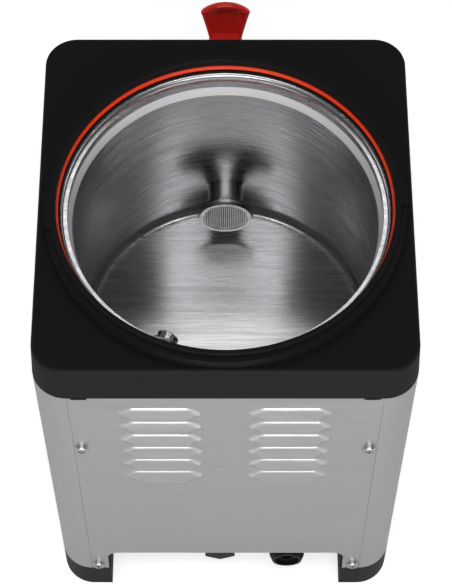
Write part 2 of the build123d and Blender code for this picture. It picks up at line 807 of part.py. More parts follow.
# ---------------------------------------------------------------------- lever
crown_z = paddle_top - paddle_crown
neck_z = paddle_top - paddle_neck_drop
paddle_back = front_y - paddle_setout
paddle_front = paddle_back - paddle_depth
hub_half = ear_gap - apart
fork_gap = tongue_half + apart
rim = 2.0
crown_wall = 3.7
skin = 3.0
with BuildPart() as tap_lever:
    # front outline: a fan with a domed top
    with BuildSketch(across(paddle_back + 20)):
        with BuildLine():
            ThreePointArc(
                (-paddle_top_width / 2, crown_z), (0, paddle_top), (paddle_top_width / 2, crown_z)
            )
            ThreePointArc(
                (paddle_top_width / 2, crown_z),
                (paddle_neck_width / 2 + 3.4, (crown_z + neck_z) / 2),
                (paddle_neck_width / 2, neck_z),
            )
            ThreePointArc(
                (-paddle_top_width / 2, crown_z),
                (-paddle_neck_width / 2 - 3.4, (crown_z + neck_z) / 2),
                (-paddle_neck_width / 2, neck_z),
            )
            Line((paddle_neck_width / 2, neck_z), (hub_half, lever_z + 8))
            Line((-paddle_neck_width / 2, neck_z), (-hub_half, lever_z + 8))
            Line((hub_half, lever_z + 8), (hub_half, lever_z - 8))
            Line((-hub_half, lever_z + 8), (-hub_half, lever_z - 8))
            Line((-hub_half, lever_z - 8), (hub_half, lever_z - 8))
        make_face()
    extrude(amount=60)
    # side outline: hub, leaning stem and upright paddle
    with BuildSketch(along(0)):
        with BuildLine():
            Polyline(
                (pivot_y - lever_hub_radius, lever_z),
                (paddle_front, neck_z - 6),
                (paddle_front, paddle_top + 1),
                (paddle_back, paddle_top + 1),
                (paddle_back, neck_z),
                (pivot_y + lever_hub_radius + 0.5, lever_z + 10),
                (pivot_y + lever_hub_radius, lever_z),
                close=True,
            )
        make_face()
        with Locations((pivot_y, lever_z)):
            Circle(lever_hub_radius)
    extrude(amount=paddle_top_width, both=True, mode=Mode.INTERSECT)
    fillet(tap_lever.edges().filter_by(Axis.Y).group_by(Axis.Z)[-1], 2.5)
    # hollow back of the paddle
    with BuildSketch(across(paddle_back)):
        with BuildLine():
            inner_top = ThreePointArc(
                (-paddle_top_width / 2 + rim, crown_z - crown_wall),
                (0, paddle_top - crown_wall),
                (paddle_top_width / 2 - rim, crown_z - crown_wall),
            )
            Line(inner_top @ 0, (-paddle_neck_width / 2 + rim, neck_z))
            Line(inner_top @ 1, (paddle_neck_width / 2 - rim, neck_z))
            Line((-paddle_neck_width / 2 + rim, neck_z), (-hub_half + rim, neck_z - 7))
            Line((paddle_neck_width / 2 - rim, neck_z), (hub_half - rim, neck_z - 7))
            Line((-hub_half + rim, neck_z - 7), (hub_half - rim, neck_z - 7))
        make_face()
    extrude(amount=paddle_depth - skin, mode=Mode.SUBTRACT)
    # fork that reaches back over the piston's tongue
    for side in (-1, 1):
        with BuildSketch(along(side * (fork_gap + hub_half) / 2)):
            with BuildLine():
                Polyline(
                    (pivot_y, lever_z - 5),
                    (tap_y, lever_z - 4.5),
                    (tap_y, lever_z + 4.5),
                    (pivot_y, lever_z + 5),
                    close=True,
                )
            make_face()
            with Locations((tap_y, lever_z)):
                Circle(4.5)
        extrude(amount=(hub_half - fork_gap) / 2, both=True)
    with BuildSketch(along(0)):
        with Locations((pivot_y, lever_z)):
            Circle(lever_pin_radius + running)
        with Locations((tap_y, lever_z)):
            Circle(link_pin_radius + running)
    extrude(amount=20, both=True, mode=Mode.SUBTRACT)
save(tap_lever.part, "tap_lever")

with BuildPart() as lever_pin:
    with BuildSketch(along(-ear_gap - ear_width)):
        with Locations((pivot_y, lever_z)):
            Circle(lever_pin_radius)
    extrude(amount=2 * (ear_gap + ear_width))
    for side in (-1, 1):
        with BuildSketch(along(side * (ear_gap + ear_width))):
            with Locations((pivot_y, lever_z)):
                Circle(lever_pin_radius + 1.5)
        extrude(amount=side * 1.5)
save(lever_pin.part, "lever_pin")

with BuildPart() as link_pin:
    with BuildSketch(along(-hub_half)):
        with Locations((tap_y, lever_z)):
            Circle(link_pin_radius)
    extrude(amount=2 * hub_half)
save(link_pin.part, "link_pin")

# -------------------------------------------------------------- control panel
panel_front = front_y - panel_proud
housing_width = rocker_width + 4
housing_height = rocker_height + 5
bushing_radius = 5.0
lamp_spots = (-14.0, 4.0)
with BuildPart() as control_panel:
    with BuildSketch(across(front_y)):
        with Locations((0, panel_z)):
            RectangleRounded(panel_width, panel_height, 6)
    extrude(amount=panel_proud)
    fillet(control_panel.edges().group_by(Axis.Y)[0], 1.2)
    with BuildSketch(across(front_y)):
        with Locations((0, panel_z)):
            RectangleRounded(panel_hole_width - 2, panel_hole_height - 2, 3)
    extrude(amount=-5)
    with BuildSketch(across(panel_front)):
        with Locations((rocker_x, panel_z)):
            Rectangle(housing_width + slip, housing_height + slip)
        with Locations((knob_x, panel_z)):
            Circle(bushing_radius + slip)
        with Locations([(lamp_x, panel_z) for lamp_x in lamp_spots]):
            Circle(lamp_radius + slip)
        with Locations((0, panel_z)):
            with GridLocations(panel_screw_span_x, panel_screw_span_z, 2, 2):
                Circle(1.7)
    extrude(amount=-(panel_proud + 6), mode=Mode.SUBTRACT)
save(control_panel.part, "control_panel")

with BuildPart() as panel_screws:
    with BuildSketch(across(panel_front)):
        with Locations((0, panel_z)):
            with GridLocations(panel_screw_span_x, panel_screw_span_z, 2, 2):
                Circle(2.8)
    extrude(amount=1.6)
    fillet(panel_screws.edges().group_by(Axis.Y)[0], 0.8)
    with BuildSketch(across(panel_front)):
        with Locations((0, panel_z)):
            with GridLocations(panel_screw_span_x, panel_screw_span_z, 2, 2):
                Circle(1.5)
    extrude(amount=-10)
save(panel_screws.part, "panel_screws")

with BuildPart() as pilot_lamps:
    for lamp_x in lamp_spots:
        with BuildSketch(across(panel_front)):
            with Locations((lamp_x, panel_z)):
                Circle(lamp_radius)
        extrude(amount=-12)
        with BuildSketch(across(panel_front)):
            with Locations((lamp_x, panel_z)):
                Circle(lamp_radius + 1)
        extrude(amount=2)
    fillet(pilot_lamps.edges().group_by(Axis.Y)[0], 1.2)
save(pilot_lamps.part, "pilot_lamps")

# ---------------------------------------------------------------- power rocker
rocker_axis_y = panel_front + 3.0
trunnion_radius = 1.5
with BuildPart() as rocker_housing:
    with BuildSketch(across(panel_front)):
        with Locations((rocker_x, panel_z)):
            Rectangle(housing_width, housing_height)
    extrude(amount=-16)
    with BuildSketch(across(panel_front)):
        with Locations((rocker_x, panel_z)):
            RectangleRounded(housing_width + 3, housing_height + 3, 1.5)
    extrude(amount=1)
    with BuildSketch(across(panel_front - 1)):
        with Locations((rocker_x, panel_z)):
            Rectangle(rocker_width + 2 * apart, rocker_height + 2 * apart)
    extrude(amount=-13, mode=Mode.SUBTRACT)
    with BuildSketch(along(rocker_x)):
        with Locations((rocker_axis_y, panel_z)):
            Circle(trunnion_radius + running)
    extrude(amount=housing_width, both=True, mode=Mode.SUBTRACT)
save(rocker_housing.part, "rocker_housing")


def tilted(forward, up):
    """A point of the rocker's side outline, turned to its rest tilt, as Y, Z."""
    turn = radians(rocker_tilt)
    out = forward * cos(turn) + up * sin(turn)
    rise = up * cos(turn) - forward * sin(turn)
    return rocker_axis_y - out, panel_z + rise


with BuildPart() as power_rocker:
    half = rocker_height / 2
    with BuildSketch(along(rocker_x)):
        with BuildLine():
            Polyline(
                tilted(6.6, half - 0.6),
                tilted(5.0, 0),
                tilted(6.6, -half + 0.6),
                tilted(-3.0, -half / 2),
                tilted(-3.0, half / 2),
                close=True,
            )
        make_face()
    extrude(amount=rocker_width / 2, both=True)
    with BuildSketch(along(rocker_x)):
        with Locations((rocker_axis_y, panel_z)):
            Circle(trunnion_radius)
    extrude(amount=housing_width / 2, both=True)
save(power_rocker.part, "power_rocker")

# ------------------------------------------------------------------ thermostat
shaft_radius = 3.0
thermostat_back = front_y + 24.0
with BuildPart() as thermostat:
    with BuildSketch(across(front_y + 6)):
        with Locations((knob_x, panel_z)):
            RectangleRounded(28, 28, 3)
    extrude(amount=-(thermostat_back - front_y - 6))
    with BuildSketch(across(front_y + 6)):
        with Locations((knob_x, panel_z)):
            Circle(bushing_radius)
    extrude(amount=panel_proud + 6)
    with BuildSketch(across(panel_front)):
        with Locations((knob_x, panel_z)):
            Circle(shaft_radius + running)
    extrude(amount=-20, mode=Mode.SUBTRACT)
save(thermostat.part, "thermostat")

knob_back = panel_front - apart
with BuildPart() as thermostat_knob:
    with BuildSketch(across(knob_back)):
        with Locations((knob_x, panel_z)):
            Circle(knob_radius + 2)
    extrude(amount=2.5)
    with BuildSketch(across(knob_back)):
        with Locations((knob_x, panel_z)):
            Circle(knob_radius)
            with PolarLocations(knob_radius + 1.2, 12):
                Circle(2.2, mode=Mode.SUBTRACT)
    extrude(amount=knob_height, taper=2)
    fillet(thermostat_knob.edges().group_by(Axis.Y)[0], 0.8)
    # pointer ridge
    with BuildSketch(across(knob_back - knob_height)):
        with Locations((knob_x, panel_z + knob_radius / 2 - 1)):
            Rectangle(2, knob_radius - 5)
    extrude(amount=0.8)
    with BuildSketch(across(knob_back)):
        with Locations((knob_x, panel_z)):
            Circle(shaft_radius)
    extrude(amount=-18)
save(thermostat_knob.part, "thermostat_knob")

# ------------------------------------------------------------------ drip tray
tray_back = front_y - 5.0
tray_front = front_y - tray_reach
tray_length = tray_back - tray_front
tray_middle = (tray_back + tray_front) / 2
tray_top = tray_z + tray_height
tray_corner = 12.0
seat_depth = grille_thickness + 0.5
seat_ledge = 2.0
with BuildPart() as drip_tray:
    with BuildSketch(level(tray_z)):
        with Locations((0, tray_middle)):
            RectangleRounded(tray_width, tray_length, tray_corner)
    extrude(amount=tray_height)
    fillet(drip_tray.edges().group_by(Axis.Z)[0], 2)
    with BuildSketch(level(tray_top)):
        with Locations((0, tray_middle)):
            RectangleRounded(
                tray_width - 2 * tray_wall, tray_length - 2 * tray_wall, tray_corner - tray_wall
            )
    extrude(amount=-seat_depth, mode=Mode.SUBTRACT)
    inner = tray_wall + seat_ledge
    with BuildSketch(level(tray_top)):
        with Locations((0, tray_middle)):
            RectangleRounded(tray_width - 2 * inner, tray_length - 2 * inner, tray_corner - inner)
    extrude(amount=tray_wall - tray_height, mode=Mode.SUBTRACT)
save(drip_tray.part, "drip_tray")

grille_slots = 13
grille_slot_pitch = 11.0
with BuildPart() as drip_grille:
    with BuildSketch(level(tray_top - seat_depth)):
        inset = 2 * (tray_wall + apart)
        with Locations((0, tray_middle)):
            RectangleRounded(tray_width - inset, tray_length - inset, tray_corner - inset / 2)
            with GridLocations(grille_slot_pitch, tray_length / 2 - 6, grille_slots, 2):
                SlotOverall(tray_length / 2 - 14, 5, rotation=90, mode=Mode.SUBTRACT)
    extrude(amount=grille_thickness)
save(drip_grille.part, "drip_grille")

bracket_sheet = 2.0
bracket_reach = 80.0
rail_height = 8.0
with BuildPart() as tray_bracket:
    rail_x = tray_width / 2 + apart + bracket_sheet
    with BuildSketch(level(tray_z)):
        with Locations((0, front_y - bracket_reach / 2)):
            Rectangle(2 * rail_x, bracket_reach)
    extrude(amount=-bracket_sheet)
    for side in (-1, 1):
        with BuildSketch(level(tray_z)):
            with Locations((side * (rail_x - bracket_sheet / 2), front_y - bracket_reach / 2)):
                Rectangle(bracket_sheet, bracket_reach)
        extrude(amount=rail_height)
    with BuildSketch(across(front_y)):
        with Locations((0, (tray_z + tray_top - 4) / 2)):
            Rectangle(130, tray_height - 4)
        with Locations((-bracket_screw_x, bracket_screw_z), (bracket_screw_x, bracket_screw_z)):
            Circle(2.2, mode=Mode.SUBTRACT)
    extrude(amount=bracket_sheet)
save(tray_bracket.part, "tray_bracket")

with BuildPart() as bracket_screws:
    with BuildSketch(across(front_y - bracket_sheet)):
        with Locations((-bracket_screw_x, bracket_screw_z), (bracket_screw_x, bracket_screw_z)):
            Circle(3.8)
    extrude(amount=2)
    with BuildSketch(across(front_y - bracket_sheet)):
        with Locations((-bracket_screw_x, bracket_screw_z), (bracket_screw_x, bracket_screw_z)):
            Circle(2)
    extrude(amount=-rail_wall - 4)
save(bracket_screws.part, "bracket_screws")

# -------------------------------------------- gland, plug and their bracket
bracket_y = rear_y - bracket_setback
bracket_plate = 3.0
bracket_middle = (gland_x + plug_x) / 2
bracket_width = plug_x - gland_x + 46
thread_radius = 8.8
with BuildPart() as gland_bracket:
    with BuildSketch(across(bracket_y)):
        with Locations((bracket_middle, channel_top - 22)):
            RectangleRounded(bracket_width, 44, 2)
        with Locations((gland_x, gland_z), (plug_x, gland_z)):
            Circle(thread_radius + slip, mode=Mode.SUBTRACT)
    extrude(amount=bracket_plate)
    with BuildSketch(level(channel_top)):
        with Locations((bracket_middle, bracket_y - 10)):
            Rectangle(bracket_width, 20)
    extrude(amount=-bracket_plate)
save(gland_bracket.part, "gland_bracket")

gland_radius = 13.8
gland_nose = 11.5
gland_bore = 4.0
gland_end = rear_y - 2.9
with BuildPart() as cable_gland:
    with BuildSketch(across(bracket_y)):
        with Locations((gland_x, gland_z)):
            Circle(gland_radius)
    extrude(amount=-(gland_end - bracket_y))
    chamfer(cable_gland.edges().group_by(Axis.Y)[-1], 5, gland_radius - gland_nose)
    with BuildSketch(across(bracket_y)):
        with Locations((gland_x, gland_z)):
            Circle(thread_radius)
    extrude(amount=bracket_plate + 8)
    with BuildSketch(across(gland_end)):
        with Locations((gland_x, gland_z)):
            Circle(gland_nose - 2)
    extrude(amount=3, mode=Mode.SUBTRACT)
    with BuildSketch(across(gland_end)):
        with Locations((gland_x, gland_z)):
            Circle(gland_bore)
    extrude(amount=60, mode=Mode.SUBTRACT)
save(cable_gland.part, "cable_gland")

plug_flats = 11.75
plug_end = rear_y - 9.3
with BuildPart() as hex_plug:
    with BuildSketch(across(bracket_y)):
        with Locations((plug_x, gland_z)):
            RegularPolygon(plug_flats, 6, major_radius=False, rotation=30)
    extrude(amount=-(plug_end - bracket_y))
    with BuildSketch(across(bracket_y)):
        with Locations((plug_x, gland_z)):
            Circle(thread_radius)
    extrude(amount=bracket_plate + 8)
save(hex_plug.part, "hex_plug")

with BuildPart() as gland_nuts:
    with BuildSketch(across(bracket_y - bracket_plate)):
        with Locations((gland_x, gland_z), (plug_x, gland_z)):
            RegularPolygon(13, 6)
            Circle(thread_radius + running, mode=Mode.SUBTRACT)
    extrude(amount=5)
save(gland_nuts.part, "gland_nuts")

# ------------------------------------------------- shelf and foam round the tank
post_radius = 4.0
post_spots = [(side * 82, y) for side in (-1, 1) for y in (front_y + 11.5, rear_y - 36)]
coil_radius = tank_outside + coil_tube + slip
coil_angle = -45.0
line_tail = 10.0
line_ring = 140.0


def round_tank(radius, angle, z):
    """Point at a radius and an angle round the tank's axis, at height z."""
    return Vector(radius * cos(radians(angle)), tank_y + radius * sin(radians(angle)), z)


tail_swing = degrees(atan(line_tail / coil_radius))
supply_angle = coil_angle - tail_swing
return_angle = coil_angle + tail_swing
coil_top = coil_bottom + coil_turns * coil_pitch
supply_drop = round_tank(line_ring, supply_angle, shelf_z)
shelf_sheet = 2.0
with BuildPart() as tank_shelf:
    with BuildSketch(level(shelf_z)):
        with Locations((0, (front_y + 5 + rear_y - 27) / 2)):
            Rectangle(184, rear_y - 27 - front_y - 5)
        with Locations((supply_drop.X, supply_drop.Y)):
            Circle(line_radius + 2, mode=Mode.SUBTRACT)
    extrude(amount=shelf_sheet)
save(tank_shelf.part, "tank_shelf")

with BuildPart() as shelf_posts:
    with BuildSketch(level(deck_top)):
        with Locations(post_spots):
            Circle(post_radius)
    extrude(amount=shelf_z - deck_top)
save(shelf_posts.part, "shelf_posts")

foam_inner = coil_radius + coil_tube + slip
with BuildPart() as base_foam:
    with BuildSketch(level(shelf_z + shelf_sheet)):
        with Locations((0, tank_y)):
            Circle(tank_radius - tank_floor_fillet - 0.5)
    extrude(amount=tank_floor - tank_wall - shelf_z - shelf_sheet)
save(base_foam.part, "base_foam")

with BuildPart() as wall_foam:
    with BuildSketch(level(tank_floor)):
        with Locations((0, tank_y)):
            Circle(foam_inner + foam_thickness)
            Circle(foam_inner, mode=Mode.SUBTRACT)
    extrude(amount=foam_top - tank_floor)
    with BuildSketch(across(tank_y)):
        with Locations((0, outlet_z)):
            Circle(outlet_outer + 1)
    extrude(amount=line_ring, mode=Mode.SUBTRACT)
    for angle, z in ((supply_angle, coil_bottom), (return_angle, coil_top)):
        outward = round_tank(1, angle, 0) - Vector(0, tank_y, 0)
        with BuildSketch(Plane(origin=round_tank(coil_radius, angle, z), z_dir=outward)):
            Circle(line_radius + 2)
        extrude(amount=20, mode=Mode.SUBTRACT)
save(wall_foam.part, "wall_foam")

# ------------------------------------------------------------ evaporator coil
with BuildPart() as evaporator_coil:
    with BuildLine():
        winding = Helix(
            pitch=coil_pitch, height=coil_pitch * coil_turns, radius=coil_radius, center=(0, tank_y, coil_bottom)
        )
    with BuildSketch(Plane(origin=winding @ 0, z_dir=winding % 0)):
        Circle(coil_tube)
    sweep(path=winding)
coil_part = evaporator_coil.part.rotate(Axis((0, tank_y, 0), (0, 0, 1)), coil_angle)
save(coil_part, "evaporator_coil")

# ------------------------------------------------------------------ compressor
stub = 4.0
discharge_x = compressor_x - 10
discharge_z = 140.0
suction_z = 120.0
foot_spread = 34.0
discharge_y = compressor_y - compressor_radius - stub
suction_x = compressor_x + compressor_radius + stub
with BuildPart() as compressor:
    with BuildSketch(level(compressor_foot)):
        with Locations((compressor_x, compressor_y)):
            Circle(compressor_radius)
    extrude(amount=compressor_top - compressor_foot)
    fillet(compressor.edges().group_by(Axis.Z)[-1], 18)
    fillet(compressor.edges().group_by(Axis.Z)[0], 8)
    with BuildSketch(level((compressor_foot + compressor_top) / 2)):
        with Locations((compressor_x, compressor_y)):
            Circle(compressor_radius + 1.5)
    extrude(amount=4)
    with BuildSketch(level(compressor_foot)):
        with Locations((compressor_x, compressor_y)):
            RectangleRounded(2 * foot_spread + 18, 2 * foot_spread + 18, 9)
            with GridLocations(2 * foot_spread, 2 * foot_spread, 2, 2):
                Circle(4, mode=Mode.SUBTRACT)
    extrude(amount=-2)
    with BuildSketch(across(compressor_y)):
        with Locations((discharge_x, discharge_z)):
            Circle(line_radius)
    extrude(amount=compressor_y - discharge_y)
    with BuildSketch(along(compressor_x)):
        with Locations((compressor_y, suction_z)):
            Circle(line_radius)
    extrude(amount=suction_x - compressor_x)
    with BuildSketch(level(compressor_foot)):
        with Locations((compressor_x, compressor_y)):
            Circle(compressor_radius - 8)
    extrude(amount=-2)
save(compressor.part, "compressor")

with BuildPart() as compressor_grommets:
    with Locations((compressor_x, compressor_y, 0)):
        with GridLocations(2 * foot_spread, 2 * foot_spread, 2, 2):
            with Locations((0, 0, deck_top)):
                Cylinder(7, compressor_foot - 2 - deck_top, align=(Align.CENTER, Align.CENTER, Align.MIN))
            with Locations((0, 0, compressor_foot - 2)):
                Cylinder(4 - slip, 2, align=(Align.CENTER, Align.CENTER, Align.MIN))
save(compressor_grommets.part, "compressor_grommets")

# ------------------------------------------------------- condenser and its fan
condenser_y = fan_y
row_pitch = condenser_height / condenser_rows
tube_radius = 3.5
tube_columns = (condenser_x - condenser_depth / 4, condenser_x + condenser_depth / 4)
row_heights = [deck_top + row_pitch * (row + 0.5) for row in range(condenser_rows)]
fin_count = int(condenser_length / fin_pitch) + 1
with BuildPart() as condenser_fins:
    for index in range(fin_count):
        fin_y = condenser_y + (index - (fin_count - 1) / 2) * fin_pitch
        with BuildSketch(across(fin_y)):
            with Locations((condenser_x, deck_top + condenser_height / 2)):
                Rectangle(condenser_depth, condenser_height)
            with Locations([(x, z) for x in tube_columns for z in row_heights]):
                Circle(tube_radius + slip / 2, mode=Mode.SUBTRACT)
        extrude(amount=0.5)
save(condenser_fins.part, "condenser_fins")

tube_back = condenser_y + condenser_length / 2 + 4
tube_front = condenser_y - condenser_length / 2 - 4
with BuildPart() as condenser_tubes:
    with BuildSketch(across(tube_back)):
        with Locations([(x, z) for x in tube_columns for z in row_heights]):
            Circle(tube_radius)
    extrude(amount=tube_back - tube_front)
    # return bends between the rows, at the back and at the front in turn
    for x in tube_columns:
        for row in range(condenser_rows - 1):
            at_back = (condenser_rows - row) % 2 == 0
            bend_y = tube_back if at_back else tube_front
            bend_z = (row_heights[row] + row_heights[row + 1]) / 2
            with BuildSketch(across(bend_y)):
                with Locations((x, row_heights[row])):
                    Circle(tube_radius)
            revolve(axis=Axis((x, bend_y, bend_z), (1 if at_back else -1, 0, 0)), revolution_arc=180)
    # cross-over between the two columns
    with BuildSketch(across(tube_front)):
        with Locations((tube_columns[0], row_heights[0])):
            Circle(tube_radius)
    revolve(axis=Axis((condenser_x, tube_front, row_heights[0]), (0, 0, 1)), revolution_arc=180)
save(condenser_tubes.part, "condenser_tubes")

fan_x = condenser_x + condenser_depth / 2
fan_z = deck_top + 1 + fan_size / 2
fan_hole = 43.5
fan_back = fan_x + fan_depth
spider = 3.0
rotor_radius = 17.0
rotor_length = 12.0
blade_tip = 42.0
with BuildPart() as fan_frame:
    with BuildSketch(along(fan_x)):
        with Locations((fan_y, fan_z)):
            RectangleRounded(fan_size, fan_size, 5)
            Circle(fan_hole, mode=Mode.SUBTRACT)
    extrude(amount=fan_depth)
    with BuildSketch(along(fan_back)):
        with Locations((fan_y, fan_z)):
            Circle(rotor_radius)
            Rectangle(2 * fan_hole + 2, 5, rotation=45)
            Rectangle(2 * fan_hole + 2, 5, rotation=-45)
    extrude(amount=-spider)
save(fan_frame.part, "fan_frame")

motor_face = fan_back - spider - 8
with BuildPart() as fan_motor:
    with BuildSketch(along(motor_face)):
        with Locations((fan_y, fan_z)):
            Circle(rotor_radius - 3)
    extrude(amount=8)
    with BuildSketch(along(motor_face)):
        with Locations((fan_y, fan_z)):
            Circle(2)
    extrude(amount=-rotor_length + 1)
save(fan_motor.part, "fan_motor")

blade_count = 7
blade_pitch = radians(35)
rotor_face = motor_face - apart - rotor_length
with BuildPart() as fan_blade:
    for blade in range(blade_count):
        turn = radians(360 * blade / blade_count)
        spoke = Vector(0, cos(turn), sin(turn))
        sideways = Vector(0, -sin(turn), cos(turn))
        facing = Vector(cos(blade_pitch), 0, 0) + sideways * sin(blade_pitch)
        blade_root = (rotor_face + rotor_length / 2, fan_y, fan_z)
        with BuildSketch(Plane(origin=blade_root, x_dir=spoke, z_dir=facing)):
            with Locations(((blade_tip + rotor_radius) / 2, 0)):
                Rectangle(blade_tip - rotor_radius + 4, 17)
        extrude(amount=0.7, both=True)
    with BuildSketch(along(rotor_face - 1)):
        with Locations((fan_y, fan_z)):
            Circle(blade_tip)
    extrude(amount=rotor_length + 2, mode=Mode.INTERSECT)
    with BuildSketch(along(rotor_face)):
        with Locations((fan_y, fan_z)):
            Circle(rotor_radius)
    extrude(amount=rotor_length)
    with BuildSketch(along(rotor_face + rotor_length)):
        with Locations((fan_y, fan_z)):
            Circle(2 + running)
    extrude(amount=-rotor_length + 0.5, mode=Mode.SUBTRACT)
save(fan_blade.part, "fan_blade")

# ------------------------------------------------------------ refrigerant lines
drier_x = 86.0
drier_y = 10.0
drier_bottom = 90.0
drier_top = 148.0
drier_radius = 8.0
with BuildPart() as filter_drier:
    with BuildSketch(level(drier_bottom)):
        with Locations((drier_x, drier_y)):
            Circle(drier_radius)
    extrude(amount=drier_top - drier_bottom)
    fillet(filter_drier.edges().filter_by(GeomType.CIRCLE), 4.5)
save(filter_drier.part, "filter_drier")


def tube_solid(points, bend):
    """Round tube along straight runs joined by tangent bends of one radius."""
    with BuildPart(mode=Mode.PRIVATE) as tube:
        with BuildLine():
            route = FilletPolyline(*points, radius=bend)
        with BuildSketch(Plane(origin=route @ 0, z_dir=route % 0)):
            Circle(line_radius)
        sweep(path=route)
    return tube.part


stub_z = row_heights[-1]
line_y = front_y + 26
discharge_line = tube_solid(
    [
        (discharge_x, discharge_y, discharge_z),
        (discharge_x, tube_front - 14, discharge_z),
        (tube_columns[1], tube_front - 14, stub_z),
        (tube_columns[1], tube_front, stub_z),
    ],
    8,
)
save(discharge_line, "discharge_line")

liquid_line = tube_solid(
    [
        (tube_columns[0], tube_front, stub_z),
        (tube_columns[0], line_y, stub_z),
        (tube_columns[0], line_y, drier_bottom - 12),
        (drier_x, line_y, drier_bottom - 12),
        (drier_x, drier_y, drier_bottom - 12),
        (drier_x, drier_y, drier_bottom),
    ],
    8,
)
save(liquid_line, "liquid_line")

supply_out = round_tank(line_ring, supply_angle, coil_bottom)
supply_in = round_tank(sqrt(coil_radius**2 + line_tail**2), supply_angle, coil_bottom)
supply_line = tube_solid(
    [
        (drier_x, drier_y, drier_top),
        (drier_x, drier_y, shelf_z - 10),
        (supply_out.X, supply_out.Y, shelf_z - 10),
        supply_out,
        supply_in,
        round_tank(coil_radius, coil_angle, coil_bottom),
    ],
    6,
)
save(supply_line, "supply_line")

return_out = round_tank(line_ring, return_angle, coil_top)
return_in = round_tank(sqrt(coil_radius**2 + line_tail**2), return_angle, coil_top)
suction_line = tube_solid(
    [
        round_tank(coil_radius, coil_angle, coil_top),
        return_in,
        return_out,
        (return_out.X, return_out.Y, suction_z),
        (return_out.X, compressor_y, suction_z),
        (suction_x, compressor_y, suction_z),
    ],
    6,
)
save(suction_line, "suction_line")

# ---------------------------------------------------------------- electrical box
box_x = 30.0
box_y = -26.0
box_height = 34.0
box_wall = 2.0
with BuildPart() as electrical_box:
    with BuildSketch(level(deck_top)):
        with Locations((box_x, box_y)):
            RectangleRounded(64, 40, 4)
    extrude(amount=box_height)
    with BuildSketch(level(deck_top + box_wall)):
        with Locations((box_x, box_y)):
            RectangleRounded(64 - 2 * box_wall, 40 - 2 * box_wall, 4 - box_wall)
    extrude(amount=box_height, mode=Mode.SUBTRACT)
save(electrical_box.part, "electrical_box")

with BuildPart() as box_lid:
    with BuildSketch(level(deck_top + box_height)):
        with Locations((box_x, box_y)):
            RectangleRounded(64, 40, 4)
    extrude(amount=box_wall)
    with BuildSketch(level(deck_top + box_height)):
        with Locations((box_x, box_y)):
            RectangleRounded(64 - 2 * box_wall - 2 * slip, 40 - 2 * box_wall - 2 * slip, 1.8)
    extrude(amount=-3)
save(box_lid.part, "box_lid")
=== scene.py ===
import math

import bmesh
import bpy
import numpy as np
from mathutils import Matrix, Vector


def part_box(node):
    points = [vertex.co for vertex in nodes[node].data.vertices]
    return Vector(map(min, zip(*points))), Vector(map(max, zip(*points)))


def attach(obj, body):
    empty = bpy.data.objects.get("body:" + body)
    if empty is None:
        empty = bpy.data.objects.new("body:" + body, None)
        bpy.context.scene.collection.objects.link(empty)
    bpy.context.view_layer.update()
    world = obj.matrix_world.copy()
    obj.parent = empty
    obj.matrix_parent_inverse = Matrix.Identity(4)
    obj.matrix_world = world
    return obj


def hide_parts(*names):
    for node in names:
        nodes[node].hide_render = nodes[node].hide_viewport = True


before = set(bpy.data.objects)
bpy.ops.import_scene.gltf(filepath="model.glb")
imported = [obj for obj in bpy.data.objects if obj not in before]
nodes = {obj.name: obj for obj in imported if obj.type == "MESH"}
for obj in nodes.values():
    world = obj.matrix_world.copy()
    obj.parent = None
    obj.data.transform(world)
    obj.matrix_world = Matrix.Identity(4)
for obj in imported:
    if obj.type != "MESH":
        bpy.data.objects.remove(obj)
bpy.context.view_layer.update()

scene = bpy.context.scene
scene.view_settings.view_transform = "Standard"


# ---------------------------------------------------------------------------
# Camera and room.  The machine is seen from behind and well above, through a
# long lens.  Floor and backdrop are a plain white sweep with soft light.
# ---------------------------------------------------------------------------
VIEW_HEIGHT = math.radians(60.4)
VIEW_DISTANCE = 1.3205
LENS_MM = 122.36
LENS_SHIFT = 0.0009
TARGET_INSET = 0.0617  # the point looked at is this far in from the top frame's rear edge

top_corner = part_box("top_frame")[1]
view_target = np.array([0.0, top_corner[1] - TARGET_INSET, top_corner[2]])
view_back = np.array([0.0, math.cos(VIEW_HEIGHT), math.sin(VIEW_HEIGHT)])
camera_data = bpy.data.cameras.new("camera")
camera_data.lens = LENS_MM
camera_data.sensor_width = 36.0
camera_data.shift_x = LENS_SHIFT
camera = bpy.data.objects.new("camera", camera_data)
camera.location = view_target + view_back * VIEW_DISTANCE
camera.rotation_euler = (math.pi / 2 - VIEW_HEIGHT, 0.0, math.pi)
scene.collection.objects.link(camera)
scene.camera = camera


def srgb(text):
    """Linear RGBA from an sRGB hex value: ((c + 0.055) / 1.055) ** 2.4 above the toe."""
    channels = [int(text[i:i + 2], 16) / 255 for i in (1, 3, 5)]
    linear = [c / 12.92 if c <= 0.04045 else ((c + 0.055) / 1.055) ** 2.4 for c in channels]
    return (*linear, 1.0)


def add(tree, kind, settings=None, **inputs):
    """Add one node.  settings are its properties.  inputs are its sockets, by name or by
    number after an underscore, and each is given a value or another node's output."""
    made = tree.nodes.new(kind)
    for key, value in (settings or {}).items():
        setattr(made, key, value)
    for key, value in inputs.items():
        socket = made.inputs[int(key[1:])] if key[0] == "_" else made.inputs[key.replace("_", " ")]
        if isinstance(value, bpy.types.NodeSocket):
            tree.links.new(value, socket)
        else:
            socket.default_value = value
    return made


def new_material(name):
    """An empty node material and its tree, with an output node in it."""
    made = bpy.data.materials.new(name)
    made.use_nodes = True
    made.node_tree.nodes.clear()
    output = made.node_tree.nodes.new("ShaderNodeOutputMaterial")
    return made, made.node_tree, output


def principled(name, colour, **sockets):
    """A material with one Principled shader: a base colour, and other sockets by name."""
    made, tree, output = new_material(name)
    shader = add(tree, "ShaderNodeBsdfPrincipled", None, Base_Color=colour, **sockets)
    tree.links.new(shader.outputs[0], output.inputs["Surface"])
    return made, tree, shader


